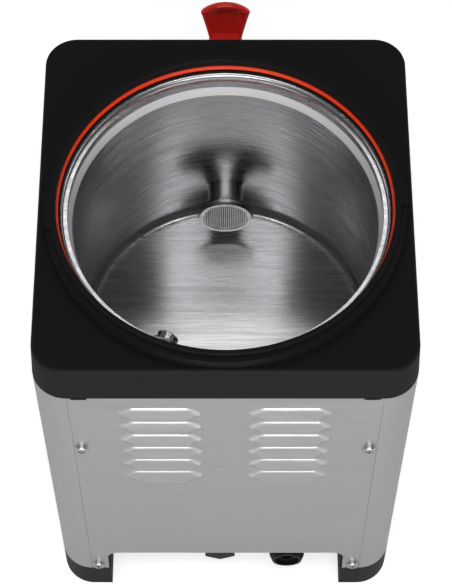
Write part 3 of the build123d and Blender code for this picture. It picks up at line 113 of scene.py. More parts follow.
# White paper sweep: it scatters light like paper.  A glow that only the camera and
# glass see lifts it to a clean white round the shadow, and more so with distance.
GLOW_FROM, GLOW_TO = 0.5, 2.2
GLOW_NEAR, GLOW_FAR = 0.66, 1.05
floor_white, tree, output = new_material("studio_paper")
paths = add(tree, "ShaderNodeLightPath")
direct = add(tree, "ShaderNodeMath", {"operation": "MAXIMUM"},
             _0=paths.outputs["Is Camera Ray"], _1=paths.outputs["Is Transmission Ray"])
paper = add(tree, "ShaderNodeBsdfDiffuse", None, Color=srgb("#F4F4F4"))
place = add(tree, "ShaderNodeTexCoord").outputs["Object"]
distance = add(tree, "ShaderNodeVectorMath", {"operation": "LENGTH"}, _0=place)
spread = add(tree, "ShaderNodeMapRange", None, Value=distance.outputs["Value"],
             From_Min=GLOW_FROM, From_Max=GLOW_TO, To_Min=GLOW_NEAR, To_Max=GLOW_FAR)
glow_strength = add(tree, "ShaderNodeMath", {"operation": "MULTIPLY"},
                    _0=direct.outputs[0], _1=spread.outputs[0])
glow = add(tree, "ShaderNodeEmission", None, Color=srgb("#FFFFFF"), Strength=glow_strength.outputs[0])
both = add(tree, "ShaderNodeAddShader", None, _0=paper.outputs[0], _1=glow.outputs[0])
tree.links.new(both.outputs[0], output.inputs["Surface"])

FLOOR_HALF = 6.0
floor_mesh = bpy.data.meshes.new("studio_floor")
floor_mesh.from_pydata([(-FLOOR_HALF, -FLOOR_HALF, 0), (FLOOR_HALF, -FLOOR_HALF, 0),
                        (FLOOR_HALF, FLOOR_HALF, 0), (-FLOOR_HALF, FLOOR_HALF, 0)], [], [(0, 1, 2, 3)])
floor = bpy.data.objects.new("studio_floor", floor_mesh)
floor.data.materials.append(floor_white)
scene.collection.objects.link(floor)

world = bpy.data.worlds.new("studio_air")
scene.world = world
world.use_nodes = True
tree = world.node_tree
tree.nodes.clear()
output = tree.nodes.new("ShaderNodeOutputWorld")
paths = add(tree, "ShaderNodeLightPath")
white_rays = add(tree, "ShaderNodeMath", {"operation": "MAXIMUM"},
                 _0=paths.outputs["Is Camera Ray"], _1=paths.outputs["Is Transmission Ray"])
seen = add(tree, "ShaderNodeBackground", None, Color=srgb("#FFFFFF"), Strength=1.0)
# The room is pale round the horizon and dim overhead, so steel has something to reflect.
HORIZON, OVERHEAD = 0.04, 0.4
ROOM_PALE, ROOM_DIM = 0.66, 0.08
direction = add(tree, "ShaderNodeTexCoord").outputs["Generated"]
upward = add(tree, "ShaderNodeSeparateXYZ", None, Vector=direction)
dimming = add(tree, "ShaderNodeMapRange", None, Value=upward.outputs["Z"],
              From_Min=HORIZON, From_Max=OVERHEAD, To_Min=ROOM_PALE, To_Max=ROOM_DIM)
ambient = add(tree, "ShaderNodeBackground", None, Color=srgb("#FFFFFF"), Strength=dimming.outputs[0])
mixed = add(tree, "ShaderNodeMixShader", None,
            _0=white_rays.outputs[0], _1=ambient.outputs[0], _2=seen.outputs[0])
tree.links.new(mixed.outputs[0], output.inputs["Surface"])


def softbox(name, place, target, width, height, power):
    """A rectangular area lamp at place, facing target."""
    lamp = bpy.data.lights.new(name, "AREA")
    lamp.shape = "RECTANGLE"
    lamp.size = width
    lamp.size_y = height
    lamp.energy = power
    made = bpy.data.objects.new(name, lamp)
    made.location = place
    reach = np.array(target, dtype=float) - np.array(place, dtype=float)
    tip = math.acos(-reach[2] / np.linalg.norm(reach))
    made.rotation_euler = (tip, 0.0, math.atan2(-reach[0], reach[1]))
    made.visible_camera = False
    scene.collection.objects.link(made)


MACHINE_MIDDLE = (0.0, 0.03, 0.25)
FLOOR_BEHIND = (0.0, 0.7, 0.0)
softbox("key_softbox", (0.0, -1.15, 2.25), MACHINE_MIDDLE, width=1.0, height=0.45, power=4.0)
softbox("upper_rear_softbox", (0.0, 0.86, 2.28), MACHINE_MIDDLE, width=2.0, height=0.3, power=12.0)
softbox("rear_softbox", (0.0, 2.6, 0.8), FLOOR_BEHIND, width=2.2, height=0.7, power=40.0)
softbox("left_softbox", (2.6, -0.6, 0.5), MACHINE_MIDDLE, width=1.0, height=1.0, power=8.0)
softbox("right_softbox", (-2.6, -0.6, 0.5), MACHINE_MIDDLE, width=1.0, height=1.0, power=8.0)


# ---------------------------------------------------------------------------
# Moulded black parts: polypropylene with a fine spark-eroded grain, which
# scatters light into a matt dark grey.  Base, top cap and collar are moulded.
# ---------------------------------------------------------------------------
MM_PER_METRE = 1000
CLOUD_SCALE, CLOUD_DARK = 18.0, 0.82
MOULD_GRAIN_DEEP = 0.0002


def shade(colour, factor):
    """A linear colour made darker or lighter: each channel times factor, held to one."""
    return tuple(min(1.0, factor * channel) for channel in colour[:3]) + (1.0,)


def moulded_black(name, colour, roughness, grain_mm=0.9, depth=0.25):
    """Matt moulding: a fine grain in the bump, and a slight cloudiness in colour."""
    made, tree, shader = principled(name, srgb(colour), Roughness=roughness, Specular_IOR_Level=0.28)
    place = add(tree, "ShaderNodeTexCoord").outputs["Object"]
    grain = add(tree, "ShaderNodeTexNoise", None, Vector=place, Scale=MM_PER_METRE / grain_mm, Detail=2.0)
    cloud = add(tree, "ShaderNodeTexNoise", None, Vector=place, Scale=CLOUD_SCALE, Detail=3.0)
    tint = add(tree, "ShaderNodeMixRGB", None, Fac=cloud.outputs["Fac"], Color1=srgb(colour),
               Color2=shade(srgb(colour), CLOUD_DARK))
    tree.links.new(tint.outputs[0], shader.inputs["Base Color"])
    bump = add(tree, "ShaderNodeBump", None, Strength=depth, Distance=MOULD_GRAIN_DEEP,
               Height=grain.outputs["Fac"])
    tree.links.new(bump.outputs[0], shader.inputs["Normal"])
    return made


def dress(name, material):
    """Give a CAD node one material."""
    target = nodes[name]
    target.data.materials.clear()
    target.data.materials.append(material)


cap_black = moulded_black("spark_eroded_black_polypropylene", "#090909", 0.66)
for name in ("top_frame", "bayonet_collar"):
    dress(name, cap_black)


# ---------------------------------------------------------------------------
# Base, tray and inner mouldings: black ABS with a finer, slightly glossier
# texture.  The base carries the cabinet on four rubber feet.
# ---------------------------------------------------------------------------
base_black = moulded_black("moulded_black_abs", "#0E0E0E", 0.5, grain_mm=0.7, depth=0.15)
for name in ("base_frame", "drip_tray", "gland_bracket", "fan_frame", "fan_blade",
             "electrical_box", "box_lid"):
    dress(name, base_black)

foot_rubber = moulded_black("nitrile_rubber", "#151515", 0.8, grain_mm=0.5, depth=0.1)
for name in ("rubber_feet", "tap_gasket", "piston_seals", "compressor_grommets"):
    dress(name, foot_rubber)


# ---------------------------------------------------------------------------
# Cabinet skin: 1 mm stainless sheet, belt-brushed along its length, so the
# grain runs level round the cabinet and blurs reflections up and down.
# ---------------------------------------------------------------------------
GRAIN_LOW, GRAIN_HIGH = 0.7, 1.3  # the range that the sum of the two noises keeps to
BROAD_SHARE = 0.13  # how much coarser the broad streaks are than the fine ones
SHINIER, DULLER = 0.05, 0.07
BRUSH_DEEP = 0.0001


def brushed_steel(name, colour, roughness, stretch, grain_mm=0.5, depth=0.12, streak=0.12):
    """Brushed metal: noise squeezed across the grain and drawn out along it.  It works in
    colour, gloss and bump, and stretch gives its fineness along X, Y and Z."""
    made, tree, shader = principled(name, srgb(colour), Roughness=roughness, Metallic=1.0)
    place = add(tree, "ShaderNodeTexCoord").outputs["Object"]
    fineness = tuple(MM_PER_METRE / grain_mm * share for share in stretch)
    along = add(tree, "ShaderNodeMapping", None, Vector=place, Scale=fineness)
    fine = add(tree, "ShaderNodeTexNoise", None, Vector=along.outputs[0], Scale=1.0, Detail=3.0)
    broad = add(tree, "ShaderNodeTexNoise", None, Vector=along.outputs[0], Scale=BROAD_SHARE, Detail=2.0)
    grain = add(tree, "ShaderNodeMath", {"operation": "ADD"},
                _0=fine.outputs["Fac"], _1=broad.outputs["Fac"])
    tone = add(tree, "ShaderNodeMapRange", None, Value=grain.outputs[0],
               From_Min=GRAIN_LOW, From_Max=GRAIN_HIGH)
    tint = add(tree, "ShaderNodeMixRGB", None, Fac=tone.outputs[0],
               Color1=shade(srgb(colour), 1 - streak), Color2=shade(srgb(colour), 1 + streak))
    tree.links.new(tint.outputs[0], shader.inputs["Base Color"])
    gloss = add(tree, "ShaderNodeMapRange", None, Value=grain.outputs[0],
                From_Min=GRAIN_LOW, From_Max=GRAIN_HIGH,
                To_Min=roughness - SHINIER, To_Max=roughness + DULLER)
    tree.links.new(gloss.outputs[0], shader.inputs["Roughness"])
    bump = add(tree, "ShaderNodeBump", None, Strength=depth, Distance=BRUSH_DEEP,
               Height=grain.outputs[0])
    tree.links.new(bump.outputs[0], shader.inputs["Normal"])
    return made


sheet_steel = brushed_steel("belt_brushed_stainless", "#CDCDCE", 0.38, (0.02, 0.02, 1.0),
                            grain_mm=0.4, depth=0.06, streak=0.045)
for name in ("body_wrap", "tray_bracket", "drip_grille"):
    dress(name, sheet_steel)


# ---------------------------------------------------------------------------
# Rear panel: one pressed sheet with two banks of six louvres.  Each hood rises
# softly from the sheet and is sheared open along its lower edge.
# ---------------------------------------------------------------------------
def smooth(low, high, value):
    """Zero below low, one above high, and 3t^2 - 2t^3 between."""
    t = np.clip((value - low) / (high - low), 0.0, 1.0)
    return t * t * (3 - 2 * t)


LOUVRE_ROWS, LOUVRE_PITCH, LOUVRE_TALL, LOUVRE_TOP = 6, 0.020, 0.015, 0.3204
LOUVRE_X, LOUVRE_HALF, LOUVRE_POINT, LOUVRE_PROUD = 0.0444, 0.02915, 0.008, 0.0029
LOUVRE_ROOM = 0.003  # the node's box holds its own hoods, which stand out this far
HOOD_END, FIRST_LIFT = 0.0034, 0.3
CUT_FALL, CUT_CLEAR, CUT_SLOPE = 0.00035, 0.0012, 2.0
ARCH_HALF, ARCH_TOP, ARCH_CORNER = 0.0925, 0.065, 0.009
SHEET_WALL, CREASE = 0.0007, math.radians(35)
# Columns stand close together over the hoods and round the corners of the arch.
FLAT_STEP, HOODS_FROM, HOODS_TO, HOOD_STEP = 0.0072, 0.0148, 0.0742, 0.0012
BESIDE_HOODS, JAMB, OUTSIDE = 0.0755, 0.00002, 0.099
panel_low, panel_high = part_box("rear_panel")
face_y = panel_high[1] - LOUVRE_ROOM
arch_columns = ARCH_HALF - ARCH_CORNER * (1 - np.sin(np.linspace(0.12, 1.5608, 9)))
half_columns = np.concatenate([FLAT_STEP * np.arange(3), np.arange(HOODS_FROM, HOODS_TO, HOOD_STEP),
                               np.linspace(BESIDE_HOODS, ARCH_HALF - ARCH_CORNER, 4), arch_columns,
                               [ARCH_HALF + JAMB, OUTSIDE, panel_high[0]]])
half_columns = np.unique(np.round(half_columns, 6))
x_line = np.concatenate([-half_columns[:0:-1], half_columns])
# Rows follow each hood from just above its top to just below its sheared edge.
louvre_tops = LOUVRE_TOP - LOUVRE_PITCH * np.arange(LOUVRE_ROWS)
hood_rows = LOUVRE_TALL * np.array([-0.02, 0, 0.07, 0.16, 0.26, 0.38, 0.5, 0.62, 0.74, 0.86,
                                    0.94, 0.985, 1.0])
height = np.sort(np.concatenate([(louvre_tops[:, None] - hood_rows).ravel(),
                                 louvre_tops - LOUVRE_TALL - CUT_FALL,
                                 louvre_tops - LOUVRE_TALL - CUT_CLEAR,
                                 [ARCH_TOP, 0.1, 0.14, 0.18, panel_high[2]]]))
share = (height - ARCH_TOP) / (panel_high[2] - ARCH_TOP)
corner_run = np.clip(np.abs(x_line) - (ARCH_HALF - ARCH_CORNER), 0, ARCH_CORNER)
arch_edge = ARCH_TOP - ARCH_CORNER + np.sqrt(np.clip(ARCH_CORNER ** 2 - corner_run ** 2, 0, None))
foot = np.where(np.abs(x_line) > ARCH_HALF, panel_low[2], arch_edge)
x_grid = np.broadcast_to(x_line, (len(height), len(x_line)))
z_grid = foot + (panel_high[2] - foot) * share[:, None]
hood = np.zeros_like(z_grid)
for top in louvre_tops:
    # A hood rises from its top edge down to its sheared lower edge, and tapers to a
    # blunt point at each end.
    down = (top - z_grid) / LOUVRE_TALL
    reach = LOUVRE_HALF - LOUVRE_POINT * np.abs(2 * np.clip(down, 0, 1) - 1)
    inside = reach - np.abs(np.abs(x_grid) - LOUVRE_X)
    lift = FIRST_LIFT * smooth(0, 0.1, down) + (1 - FIRST_LIFT) * np.clip(down, 0, 1)
    above_cut = down < 1.002
    hood = np.maximum(hood, LOUVRE_PROUD * smooth(0, HOOD_END, inside) * lift * above_cut)
y_grid = face_y + hood
count_z, count_x = z_grid.shape
row, col = np.meshgrid(np.arange(count_z - 1), np.arange(count_x - 1), indexing="ij")
here = row * count_x + col
quads = np.stack([here, here + count_x, here + count_x + 1, here + 1], axis=-1).reshape(-1, 4)
mesh = bpy.data.meshes.new("pressed_rear_panel")
points = np.stack([x_grid, y_grid, z_grid], axis=-1).reshape(-1, 3)
mesh.from_pydata(points.tolist(), [], quads.tolist())
# Faces that fall steeply back to the sheet stand for the openings under the hoods. They get a near-black
# material, painted shade for the dark inside behind them.
slope = np.abs(hood[1:, :] - hood[:-1, :]) / np.abs(z_grid[1:, :] - z_grid[:-1, :])
steep = (np.maximum(slope[:, 1:], slope[:, :-1]) > CUT_SLOPE).ravel()
mesh.polygons.foreach_set("material_index", steep.astype(np.int32))
mesh.polygons.foreach_set("use_smooth", ~steep)
rear_sheet = bpy.data.objects.new("pressed_rear_panel", mesh)
scene.collection.objects.link(rear_sheet)
# Painted shade: a matt near-black for the openings, which are not cut through the sheet.
louvre_shadow = moulded_black("painted_shade_louvre_opening", "#0A0A0A", 0.9)
rear_sheet.data.materials.append(sheet_steel)
rear_sheet.data.materials.append(louvre_shadow)
wall = rear_sheet.modifiers.new("sheet", "SOLIDIFY")
wall.thickness = SHEET_WALL
wall.offset = -1.0
crease = rear_sheet.modifiers.new("crease", "EDGE_SPLIT")
crease.split_angle = CREASE
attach(rear_sheet, "cabinet")
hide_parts("rear_panel")


# ---------------------------------------------------------------------------
# Tank: deep-drawn stainless, its wall polished round and round and its floor
# brushed straight across, with a bright rolled mouth and a bright floor corner.
# ---------------------------------------------------------------------------
tank_steel = brushed_steel("polished_drawn_stainless", "#C2C2C4", 0.27, (0.02, 0.02, 1.0),
                           streak=0.05, depth=0.04)
tree = tank_steel.node_tree
LEVEL_NORMAL = 0.8  # a face whose normal points up more than this is floor or ledge
FLOOR_GRAIN = (40.0, 2000.0, 40.0)
normal = add(tree, "ShaderNodeNewGeometry").outputs["Normal"]
facing = add(tree, "ShaderNodeSeparateXYZ", None, Vector=normal)
level_part = add(tree, "ShaderNodeMath", {"operation": "GREATER_THAN"},
                 _0=facing.outputs["Z"], _1=LEVEL_NORMAL)
place = add(tree, "ShaderNodeTexCoord").outputs["Object"]
floor_grain = add(tree, "ShaderNodeMapping", None, Vector=place, Scale=FLOOR_GRAIN)
wall_grain = next(n for n in tree.nodes if n.type == "MAPPING" and n != floor_grain)
tank_grain = add(tree, "ShaderNodeMixRGB", None, Fac=level_part.outputs[0],
                 Color1=wall_grain.outputs[0], Color2=floor_grain.outputs[0])
for noise in [n for n in tree.nodes if n.type == "TEX_NOISE"]:
    tree.links.new(tank_grain.outputs[0], noise.inputs["Vector"])
# The band just below the ledge is painted near-white and not metallic. It is a painted highlight for the
# light that the polished band catches, and it reads as a pale ring.
PAINTED_HIGHLIGHT_Z, PAINTED_HIGHLIGHT_HALF = 0.3551, 0.0033
heights = add(tree, "ShaderNodeSeparateXYZ", None, Vector=place)
in_painted_highlight = add(tree, "ShaderNodeMath", {"operation": "COMPARE"},
              _0=heights.outputs["Z"], _1=PAINTED_HIGHLIGHT_Z, _2=PAINTED_HIGHLIGHT_HALF)
shader = next(n for n in tree.nodes if n.type == "BSDF_PRINCIPLED")
# Painted highlight: the band's colour is set near-white and its metal is turned off.
painted_highlight_colour = add(tree, "ShaderNodeMixRGB", None, Fac=in_painted_highlight.outputs[0], Color2=srgb("#F7F7F7"),
                  Color1=shader.inputs["Base Color"].links[0].from_socket)
tree.links.new(painted_highlight_colour.outputs[0], shader.inputs["Base Color"])
painted_highlight_metal = add(tree, "ShaderNodeMapRange", None, Value=in_painted_highlight.outputs[0], To_Min=1.0, To_Max=0.0)
tree.links.new(painted_highlight_metal.outputs[0], shader.inputs["Metallic"])
dress("tank", tank_steel)


# ---------------------------------------------------------------------------
# Small turned and pressed steel: screws, pins, outlet tube, strainer, probe and
# its nut, bright from the lathe; clips and shelf in dull bright-zinc plate.
# ---------------------------------------------------------------------------
turned_steel = brushed_steel("turned_stainless", "#CDCDCE", 0.2, (0.1, 1.0, 0.1),
                             grain_mm=0.5, depth=0.03, streak=0.03)
for name in ("rear_screws", "panel_screws", "tap_screws", "bracket_screws", "outlet_tube",
             "strainer_cup", "lever_pin", "link_pin", "tap_piston", "tap_spring"):
    dress(name, turned_steel)
satin_steel = brushed_steel("satin_etched_stainless", "#DADADB", 0.42, (0.1, 1.0, 0.1),
                            grain_mm=0.5, depth=0.03, streak=0.03)
dress("strainer_disc", satin_steel)
zinc_plate = brushed_steel("zinc_plated_steel", "#A9ACAF", 0.42, (0.2, 0.2, 0.2),
                           grain_mm=2.0, depth=0.05, streak=0.15)
for name in ("collar_screws", "tank_shelf", "shelf_posts", "fan_motor", "thermostat"):
    dress(name, zinc_plate)


# ---------------------------------------------------------------------------
# Temperature probe: a stub with a ringed head, screwed through the wall behind a
# bright domed nut.  Both are turned stainless.
# ---------------------------------------------------------------------------
def closed_mesh(name, rows):
    """A closed tube through rows of shape (lengthwise, round, 3): quads between
    neighbours, and each end drawn together to one point at its middle."""
    length, ring = rows.shape[:2]
    ends = rows[[0, -1]].mean(axis=1)
    points = np.concatenate([rows.reshape(-1, 3), ends])
    row, col = np.meshgrid(np.arange(length - 1), np.arange(ring), indexing="ij")
    here, beside = row * ring + col, row * ring + (col + 1) % ring
    quads = np.stack([here, beside, beside + ring, here + ring], axis=-1).reshape(-1, 4)
    turn = np.arange(ring)
    low = np.stack([np.full(ring, length * ring), (turn + 1) % ring, turn], axis=-1)
    high_row = (length - 1) * ring
    high = np.stack([np.full(ring, length * ring + 1), high_row + turn,
                     high_row + (turn + 1) % ring], axis=-1)
    mesh = bpy.data.meshes.new(name)
    mesh.from_pydata(points.tolist(), [], quads.tolist() + low.tolist() + high.tolist())
    mesh.validate()
    shape = bmesh.new()
    shape.from_mesh(mesh)
    bmesh.ops.remove_doubles(shape, verts=shape.verts, dist=1e-6)
    bmesh.ops.recalc_face_normals(shape, faces=shape.faces)
    shape.to_mesh(mesh)
    shape.free()
    mesh.polygons.foreach_set("use_smooth", np.ones(len(mesh.polygons), dtype=bool))
    made = bpy.data.objects.new(name, mesh)
    scene.collection.objects.link(made)
    return made


def turned(name, centre, axis, along, radius, count=96):
    """A solid of revolution, closed at both ends: centre + along * axis
    + radius * (cos a * first + sin a * second), where a runs round the axis."""
    axis = np.array(axis, dtype=float) / np.linalg.norm(axis)
    first = np.cross(axis, [0.0, 0.0, 1.0])
    first /= np.linalg.norm(first)
    second = np.cross(axis, first)
    a = np.arange(count) / count * 2 * np.pi
    ring = np.cos(a)[:, None] * first + np.sin(a)[:, None] * second
    along, radius = np.array(along, dtype=float), np.array(radius, dtype=float)
    rows = np.array(centre) + along[:, None, None] * axis + radius[:, None, None] * ring
    return closed_mesh(name, rows)


polished_steel = brushed_steel("polished_stainless", "#E6E6E7", 0.12, (0.1, 0.1, 0.1),
                               grain_mm=1.0, depth=0.01, streak=0.02)
probe_low, probe_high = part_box("temperature_probe")
tank_low, tank_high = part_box("tank")
tank_middle_y = (tank_low[1] + tank_high[1]) / 2
PROBE_ANGLE, TANK_INSIDE = math.radians(24.0), 0.1057
outward = np.array([math.sin(PROBE_ANGLE), math.cos(PROBE_ANGLE), 0.0])
probe_seat = np.array([0.0, tank_middle_y, (probe_low[2] + probe_high[2]) / 2]) + outward * TANK_INSIDE
# The head is a plain stem that ends in two rounded beads, side by side.
STEM_FROM, STEM_TO, STEM_RADIUS = -0.002, 0.0064, 0.0032
FIRST_BEAD_AT, FIRST_BEAD_HALF, FIRST_BEAD_WAIST, FIRST_BEAD_BULGE = 0.0078, 0.0011, 0.0056, 0.0014
LAST_BEAD_AT, LAST_BEAD_HALF, LAST_BEAD_WAIST, LAST_BEAD_BULGE = 0.0106, 0.0013, 0.0058, 0.0017
TIP_AT, TIP_RADIUS = 0.0120, 0.0046
bead = np.linspace(0, np.pi, 13)
head_along = np.concatenate([[STEM_FROM, STEM_TO], FIRST_BEAD_AT - FIRST_BEAD_HALF * np.cos(bead),
                             LAST_BEAD_AT - LAST_BEAD_HALF * np.cos(bead), [TIP_AT]])
head_radius = np.concatenate([[STEM_RADIUS] * 2, FIRST_BEAD_WAIST + FIRST_BEAD_BULGE * np.sin(bead),
                              LAST_BEAD_WAIST + LAST_BEAD_BULGE * np.sin(bead), [TIP_RADIUS]])
probe_head = turned("probe_head", probe_seat, -outward, head_along, head_radius)
# The nut is a quarter ellipse turned round, from its flange to a flat round the stem.
NUT_SUNK, NUT_FLANGE, NUT_RISE = -0.0008, 0.0012, 0.0064
NUT_RADIUS, NUT_FLAT = 0.0115, 0.0033
dome = np.linspace(0, np.pi / 2, 24)
nut_along = np.concatenate([[NUT_SUNK], NUT_FLANGE + NUT_RISE * np.sin(dome)])
nut_radius = np.concatenate([[NUT_RADIUS], NUT_FLAT + (NUT_RADIUS - NUT_FLAT) * np.cos(dome)])
nut_dome = turned("probe_dome_nut", probe_seat, -outward, nut_along, nut_radius)
for piece, node in ((probe_head, "temperature_probe"), (nut_dome, "probe_nut")):
    piece.data.materials.append(polished_steel)
    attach(piece, "cabinet")
    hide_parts(node)


# ---------------------------------------------------------------------------
# Lid seal: a bright orange silicone cord, soft and faintly translucent, with a
# satin skin that shows long pale highlights.
# ---------------------------------------------------------------------------
def swept_ring(name, radius, height, material):
    """A closed ring: each point of a profile, radius out and height up, carried round the
    tank's axis, at (radius cos a, middle + radius sin a, height)."""
    count = len(radius)
    points = np.stack([radius * np.cos(around)[:, None],
                       tank_middle_y + radius * np.sin(around)[:, None],
                       np.broadcast_to(height, (len(around), count))], axis=-1)
    here = np.arange(len(around) * count).reshape(len(around), count)
    right, above = np.roll(here, -1, axis=0), np.roll(here, -1, axis=1)
    corner = np.roll(right, -1, axis=1)
    quads = np.stack([here, right, corner, above], axis=-1).reshape(-1, 4)
    mesh = bpy.data.meshes.new(name)
    mesh.from_pydata(points.reshape(-1, 3).tolist(), [], quads.tolist())
    made = bpy.data.objects.new(name, mesh)
    scene.collection.objects.link(made)
    made.data.materials.append(material)
    return made


silicone, tree, shader = principled("orange_silicone", srgb("#FF3C04"), Roughness=0.42,
                                    Subsurface_Weight=0.15, Subsurface_Scale=0.002)
place = add(tree, "ShaderNodeTexCoord").outputs["Object"]
skin = add(tree, "ShaderNodeTexNoise", None, Vector=place, Scale=400.0, Detail=2.0)
tint = add(tree, "ShaderNodeMixRGB", None, Fac=skin.outputs["Fac"],
           Color1=srgb("#F53602"), Color2=srgb("#FF460E"))
tree.links.new(tint.outputs[0], shader.inputs["Base Color"])
bump = add(tree, "ShaderNodeBump", None, Strength=0.15, Distance=0.0002, Height=skin.outputs["Fac"])
tree.links.new(bump.outputs[0], shader.inputs["Normal"])
SEAL_RADIUS, SEAL_SECTION, SEAL_Z = 0.1156, 0.0018, 0.3724
SEAL_ROUND, SECTION_ROUND = 360, 24
around = np.arange(SEAL_ROUND) / SEAL_ROUND * 2 * np.pi
section = np.arange(SECTION_ROUND) / SECTION_ROUND * 2 * np.pi
lid_seal = swept_ring("lid_seal", SEAL_RADIUS + SEAL_SECTION * np.cos(section),
                      SEAL_Z + SEAL_SECTION * np.sin(section), silicone)
lid_seal.data.polygons.foreach_set("use_smooth", np.ones(len(lid_seal.data.polygons), dtype=bool))
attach(lid_seal, "cabinet")
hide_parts("lid_gasket")
# The seal's black seat covers the step between the tank flange and the collar.
SEAT_RADIUS = np.array([0.1162, 0.1162, 0.1152, 0.1132, 0.1128, 0.1127])
SEAT_HEIGHT = np.array([0.3691, 0.3706, 0.3706, 0.3705, 0.3702, 0.3691])
seal_seat = swept_ring("seal_seat", SEAT_RADIUS, SEAT_HEIGHT, cap_black)
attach(seal_seat, "cabinet")


# ---------------------------------------------------------------------------
# Tap lever: glossy red ABS, injection moulded in one piece, with a dished back.
# It turns on the steel pin through its two cheeks and lifts the tap's piston.
# ---------------------------------------------------------------------------
red_abs, tree, shader = principled("glossy_red_abs", srgb("#FF1E12"), Roughness=0.3)
place = add(tree, "ShaderNodeTexCoord").outputs["Object"]
flow = add(tree, "ShaderNodeTexNoise", None, Vector=place, Scale=60.0, Detail=3.0)
tint = add(tree, "ShaderNodeMixRGB", None, Fac=flow.outputs["Fac"],
           Color1=srgb("#F81C10"), Color2=srgb("#FF2A1C"))
tree.links.new(tint.outputs[0], shader.inputs["Base Color"])
dimple = add(tree, "ShaderNodeTexNoise", None, Vector=place, Scale=900.0, Detail=1.0)
bump = add(tree, "ShaderNodeBump", None, Strength=0.06, Distance=0.0002, Height=dimple.outputs["Fac"])
tree.links.new(bump.outputs[0], shader.inputs["Normal"])

# The handle stands above the fork: a fan-shaped paddle with a domed top wall, thin
# side walls and a dished back with a low rib inside each side.
lever_low, lever_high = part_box("tap_lever")
PADDLE_TOP_HALF, PADDLE_NECK_HALF, PADDLE_CROWN = 0.0183, 0.0110, 0.0086
PADDLE_FOOT_RISE, PADDLE_LEAN = 0.0165, 0.0012
DISH_DEPTH, TOP_WALL, SIDE_WALL, RIB_HEIGHT = 0.0042, 0.0030, 0.0017, 0.0004
WALL_ROUND, RIB_HALF, RIB_PART, RIB_OFFSET = 0.0012, 0.0007, 0.62, 0.0006
PADDLE_DEEP, PADDLE_INSET, TOP_ROUND, CORNER_POWER = 0.0072, 0.0067, 0.0045, 6.0
FLARE, FOOT_PINCH, FOOT_PART = 1.15, 0.55, 0.16
PADDLE_ROWS, PADDLE_ROUND = 150, 240
paddle_back_y = lever_high[1] - PADDLE_INSET
row = np.linspace(0.0, 1.0, PADDLE_ROWS)[:, None]
angle = (np.arange(PADDLE_ROUND) / PADDLE_ROUND * 2 * np.pi)[None, :]
# Each level is a superellipse: sign(cos a) |cos a|^(2/n) across and the same of sin a deep.
across_part = np.sign(np.cos(angle)) * np.abs(np.cos(angle)) ** (2 / CORNER_POWER)
deep_part = np.sign(np.sin(angle)) * np.abs(np.sin(angle)) ** (2 / CORNER_POWER)
foot_z = lever_low[2] + PADDLE_FOOT_RISE
corner_z = lever_high[2] - PADDLE_CROWN
half = PADDLE_NECK_HALF + (PADDLE_TOP_HALF - PADDLE_NECK_HALF) * row ** FLARE
half = half * (1 - FOOT_PINCH * (1 - smooth(0.0, FOOT_PART, row)))
top_edge = corner_z + PADDLE_CROWN * (1 - across_part ** 2)
height = foot_z + (top_edge - foot_z) * row
below_top = top_edge - height
# Its thickness runs out round the top edge and narrows to 62 % at the foot.
round_top = np.sqrt(np.clip(1 - (1 - np.clip(below_top / TOP_ROUND, 0, 1)) ** 2, 0, 1))
thick = PADDLE_DEEP * (0.12 + 0.88 * round_top) * (0.62 + 0.38 * smooth(0.0, 0.2, row))
# The dish keeps inside the side walls, under the top wall and above the foot.
inside = (smooth(SIDE_WALL, SIDE_WALL + WALL_ROUND, half * (1 - np.abs(across_part)))
          * smooth(TOP_WALL, TOP_WALL + WALL_ROUND, below_top)
          * smooth(0.004, 0.014, height - foot_z))
rib_line = half * RIB_PART + RIB_OFFSET
rib = RIB_HEIGHT * np.exp(-((np.abs(across_part) * half - rib_line) / RIB_HALF) ** 2)
dish = (deep_part > 0) * (DISH_DEPTH * (0.86 + 0.14 * across_part ** 2) - rib) * inside
paddle_y = paddle_back_y + PADDLE_LEAN * row - thick * (1 - deep_part) / 2 - dish
paddle_x = np.broadcast_to(half * across_part, height.shape)
paddle = closed_mesh("lever_paddle", np.stack([paddle_x, paddle_y, height], axis=-1))
paddle.data.materials.append(red_abs)
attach(paddle, "lever")

# Two cheeks carry the pivot pin and hold the piston's tongue between them.
pin_low, pin_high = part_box("lever_pin")
pivot = np.array([(pin_low[1] + pin_high[1]) / 2, (pin_low[2] + pin_high[2]) / 2])
link_low, link_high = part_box("link_pin")
link = np.array([(link_low[1] + link_high[1]) / 2, (link_low[2] + link_high[2]) / 2])
CHEEK_IN, CHEEK_OUT, CHEEK_EDGE = 0.0033, 0.0068, 0.0005
CHEEK_ROUND = 96
PIVOT_BOSS, LINK_BOSS, FOOT_BOSS = 0.006, 0.0042, 0.0034
cheek_angle = np.arange(CHEEK_ROUND) / CHEEK_ROUND * 2 * np.pi
circle = np.stack([np.cos(cheek_angle), np.sin(cheek_angle)], axis=-1)
# The outline is the band round three bosses: in each direction, the boss that reaches
# furthest, centre . direction + radius, gives the point.
corners = np.array([[*pivot, PIVOT_BOSS], [*link, LINK_BOSS],
                    [paddle_back_y - PADDLE_DEEP / 2, foot_z + 0.004, FOOT_BOSS]])
reach = circle @ corners[:, :2].T + corners[:, 2]
pick = np.argmax(reach, axis=1)
outline = corners[pick, :2] + corners[pick, 2:] * circle
